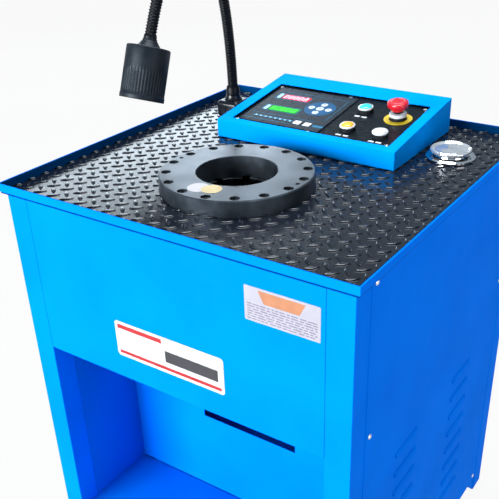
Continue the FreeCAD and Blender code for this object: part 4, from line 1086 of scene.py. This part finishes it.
def lamp():
    """Lamp head with a stepped cone, a smooth shoulder and a fluted skirt, its bulb and its swivel."""
    place = Matrix.Translation(Vector(SHADE_PLACE) * MM) @ Matrix.Rotation(SHADE_TILT, 4, "X")
    outer = SHADE_RADIUS
    profile = [
        (5, 15), (12.4, 15), (13, 14.2), (13, 11.5), (14.2, 10.8), (16.5, 7), (20.5, 2), (22.5, 0.6),
        (26, 0), (outer - 3.4, 0), (outer - 2.2, -0.5), (outer - 1.4, -1.6), (outer - 1, -3),
        (outer - 0.9, -20), (outer - 0.8, -36),
    ]
    for i in range(FLUTE_ROWS + 1):
        profile.append((outer - 0.75, -38 - 46 * i / FLUTE_ROWS))
    profile += [(outer - 0.2, -85.5), (outer, -87), (outer, -SHADE_LENGTH + 1)]
    profile += [(outer - 0.6, -SHADE_LENGTH), (outer - 2, -SHADE_LENGTH)]
    profile += [(outer - 2.6, -SHADE_LENGTH + 1), (outer - 3.4, -60), (outer - 3.5, -4), (5, -4)]

    def fluted(radius, height, angle):
        h = height / MM
        if not FLUTE_FOOT < h < FLUTE_TOP or radius < (outer - 1.5) * MM:
            return 0
        fade = min(1, (FLUTE_TOP - h) / 8) * min(1, (h - FLUTE_FOOT) / 3)
        return -1.1 * MM * fade * (0.5 + 0.5 * math.cos(FLUTES * angle))

    mesh = lathe("lamp_shade", mm(profile), place, FLUTES * 6, fluted)
    dark, light = (0.004, 0.007, 0.011), (0.009, 0.013, 0.019)
    look = metal("shade_enamel", dark, light, 0.42, 0.54, scale=25, metallic=0.2)
    look.shader.inputs["Specular IOR Level"].default_value = 0.15
    item = piece("lamp_shade", mesh, look, "lamp", sharp=50)
    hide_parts("lamp_head")
    glass = surface("bulb_frosted", (0.9, 0.88, 0.8), 0.35, Transmission_Weight=0.3)
    mottled(glass, (0.85, 0.83, 0.76), (0.95, 0.94, 0.88), 90)
    bumpy(glass, grain(glass, 900), 0.0001, 0.4)
    dress("lamp_bulb", glass)
    ring = [(27.4, -70), (35, -68), (35, -66), (27.4, -68)]
    turned("lamp_reflector", ring, place, 96, CHROME, "lamp")
    ball = [(0, -10)]
    for angle in range(-60, 61, 15):
        turn = math.radians(angle)
        ball.append((12 * math.cos(turn), 11 * math.sin(turn)))
    ball.append((0, 10))
    spot = Matrix.Translation(pivot_of("lamp_tilt")) @ Matrix.Rotation(SHADE_TILT, 4, "X")
    turned("lamp_swivel", ball, spot, 40, NECK, "neck_drop")


# ---------------------------------------------------------------- plates and stickers

STICKERS = (
    ("sticker_white", (-18, -219), 18.5, (0.27, 0.25, 0.265)),
    ("sticker_yellow", (5, -214), 17.5, (0.32, 0.225, 0.07)),
)
STICKER_THICK = 0.15 * MM


def flange_stickers():
    """Two round stickers on the flange, one lapped over the other."""
    top = top_of("head_flange")
    for i, (name, (x, y), radius, colour) in enumerate(STICKERS):
        look = plastic(name + "_film", colour, 0.3, 0.42, spread=0.9)
        low = top + i * STICKER_THICK - 0.02 * MM
        part = prism(disc(x * MM, y * MM, radius * MM, 56), low, low + STICKER_THICK)
        printed(name, [part], look)


INFO_PLATE = ((162, 290), (772, 830))
INFO_HEADER = [(196, 806), (256, 806), (266, 826), (186, 826)]
INFO_ROWS = 7
ROW_PITCH = 4.1
ROW_START = 167
ROW_LAST = 282
ROW_END = 285
BADGE_PLATE = ((-112, 116), (612, 682))
BADGE_STRIPES = ((-106, 618, 110, 624), (-106, 668, -10, 676))
BADGE_BLOCK = (-4, 634, 104, 656)
PLATE_THICK = 0.5 * MM


def front_plates():
    """Plain information plate, and a name plate with two stripes and a plain block."""
    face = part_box("front_panel")[0].y
    front = Matrix.Translation((0, face, 0)) @ Matrix.Rotation(math.radians(90), 4, "X")
    inked = (PLATE_THICK, PLATE_THICK + PRINT)

    def blocks(boxes):
        return bars([[n * MM for n in box] for box in boxes], *inked)

    pale = plastic("plate_pale", (0.255, 0.245, 0.285), 0.3, 0.42, spread=0.92)
    printed("info_plate", [prism(rounded_box(*mm(INFO_PLATE), 2 * MM), 0, PLATE_THICK)], pale, front)
    orange = plastic("print_orange", (0.3, 0.12, 0.055), 0.35, 0.45)
    printed("info_header", [prism(mm(INFO_HEADER), *inked)], orange, front)
    rows = []
    ink = plastic("print_grey", (0.12, 0.1, 0.15), 0.35, 0.45)
    for row in range(INFO_ROWS):
        z = 802 - row * ROW_PITCH
        x = ROW_START
        while x < ROW_LAST:
            length = rng.uniform(4, 15)
            end = min(x + length, ROW_END)
            rows.append((x, z - 1.7, end, z))
            x = end + rng.uniform(1.5, 4)
    printed("info_rows", blocks(rows), ink, front)
    blank = plastic("badge_white", (0.36, 0.36, 0.37), 0.3, 0.42, spread=0.95)
    printed("badge_plate", [prism(rounded_box(*mm(BADGE_PLATE), 6 * MM), 0, PLATE_THICK)], blank, front)
    stripe = plastic("badge_red", (0.28, 0.003, 0.007), 0.3, 0.4)
    printed("badge_stripes", blocks(BADGE_STRIPES), stripe, front)
    dark = plastic("badge_grey", (0.02, 0.02, 0.025), 0.3, 0.4)
    printed("badge_block", blocks([BADGE_BLOCK]), dark, front)


LEFT_SKIN = -330 * MM
RIGHT_SKIN = 343 * MM
FOLD = [(-0.6, 0), (0.5, 0.9), (0.9, 1.7), (0.7, 2.6), (-0.6, 3.6)]


def side_folds():
    """Rolled front and rear edges of the side covers, which catch the light as a thin line."""
    parts = []
    for node, sign, skin in (("left_side_panel", -1, LEFT_SKIN), ("right_side_panel", 1, RIGHT_SKIN)):
        low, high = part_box(node)
        for start, inward in ((low.y, 1), (high.y, -1)):
            points = [(skin + sign * out * MM, start + inward * along * MM) for out, along in FOLD]
            parts.append(prism(points, low.z + 1 * MM, high.z - 1 * MM))
    piece("side_folds", merged("side_folds", parts), PAINT, "cabinet", sharp=60)


# ---------------------------------------------------------------- return springs

SPRING_RING = 82 * MM
SPRING_TURNS = 3
SPRING_RADII = {-1: 4.2 * MM, 1: 2.7 * MM}
SPRING_WIRE = 0.6 * MM
SPRING_LENGTH = 15 * MM
SPRING_STEPS = 20
WIRE_SIDES = 8


def spring(middle, along, out, radius):
    """(points, faces) of a coil that runs from the middle in the direction along."""
    up = Vector((0, 0, 1))
    count = SPRING_TURNS * SPRING_STEPS
    sides = WIRE_SIDES
    points = []
    faces = []
    for i in range(count + 1):
        turn = 2 * math.pi * SPRING_TURNS * i / count
        spoke = out * math.cos(turn) + up * math.sin(turn)
        place = middle + along * (SPRING_LENGTH * i / count) + spoke * radius
        for k in range(sides):
            bend = 2 * math.pi * k / sides
            points.append(place + (spoke * math.cos(bend) + along * math.sin(bend)) * SPRING_WIRE)
    for i in range(count):
        a, b = i * sides, (i + 1) * sides
        for k in range(sides):
            j = (k + 1) % sides
            faces.append((a + k, a + j, b + j, b + k))
    faces.append(tuple(range(sides)))
    faces.append(tuple(count * sides + k for k in range(sides)))
    return points, faces


def springs():
    """Two nested springs between neighbouring shoes: each rides on its shoe and slides into the other."""
    z = centre_of("return_springs").z
    for number in range(8):
        parts = []
        for side, radius in SPRING_RADII.items():
            angle = math.radians(number * 45 + side * 22.5)
            out = Vector((math.cos(angle), math.sin(angle), 0))
            along = Vector((-math.sin(angle), math.cos(angle), 0)) * -side
            parts.append(spring(Vector((head.x, head.y, z)) + out * SPRING_RING, along, out, radius))
        name = f"shoe_springs_{number + 1}"
        item = piece(name, merged(name, parts), ZINC, f"shoe_{number + 1}")
        if number == 0:
            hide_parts("return_springs")


camera()
studio()
floor()
backdrop()
frame_looks()
rubber_mat()
buttons()
emergency_stop()
displays()
face_print()
keys()
screws()
filler()
lamp_foot()
gooseneck()
lamp()
flange_stickers()
front_plates()
side_folds()
springs()
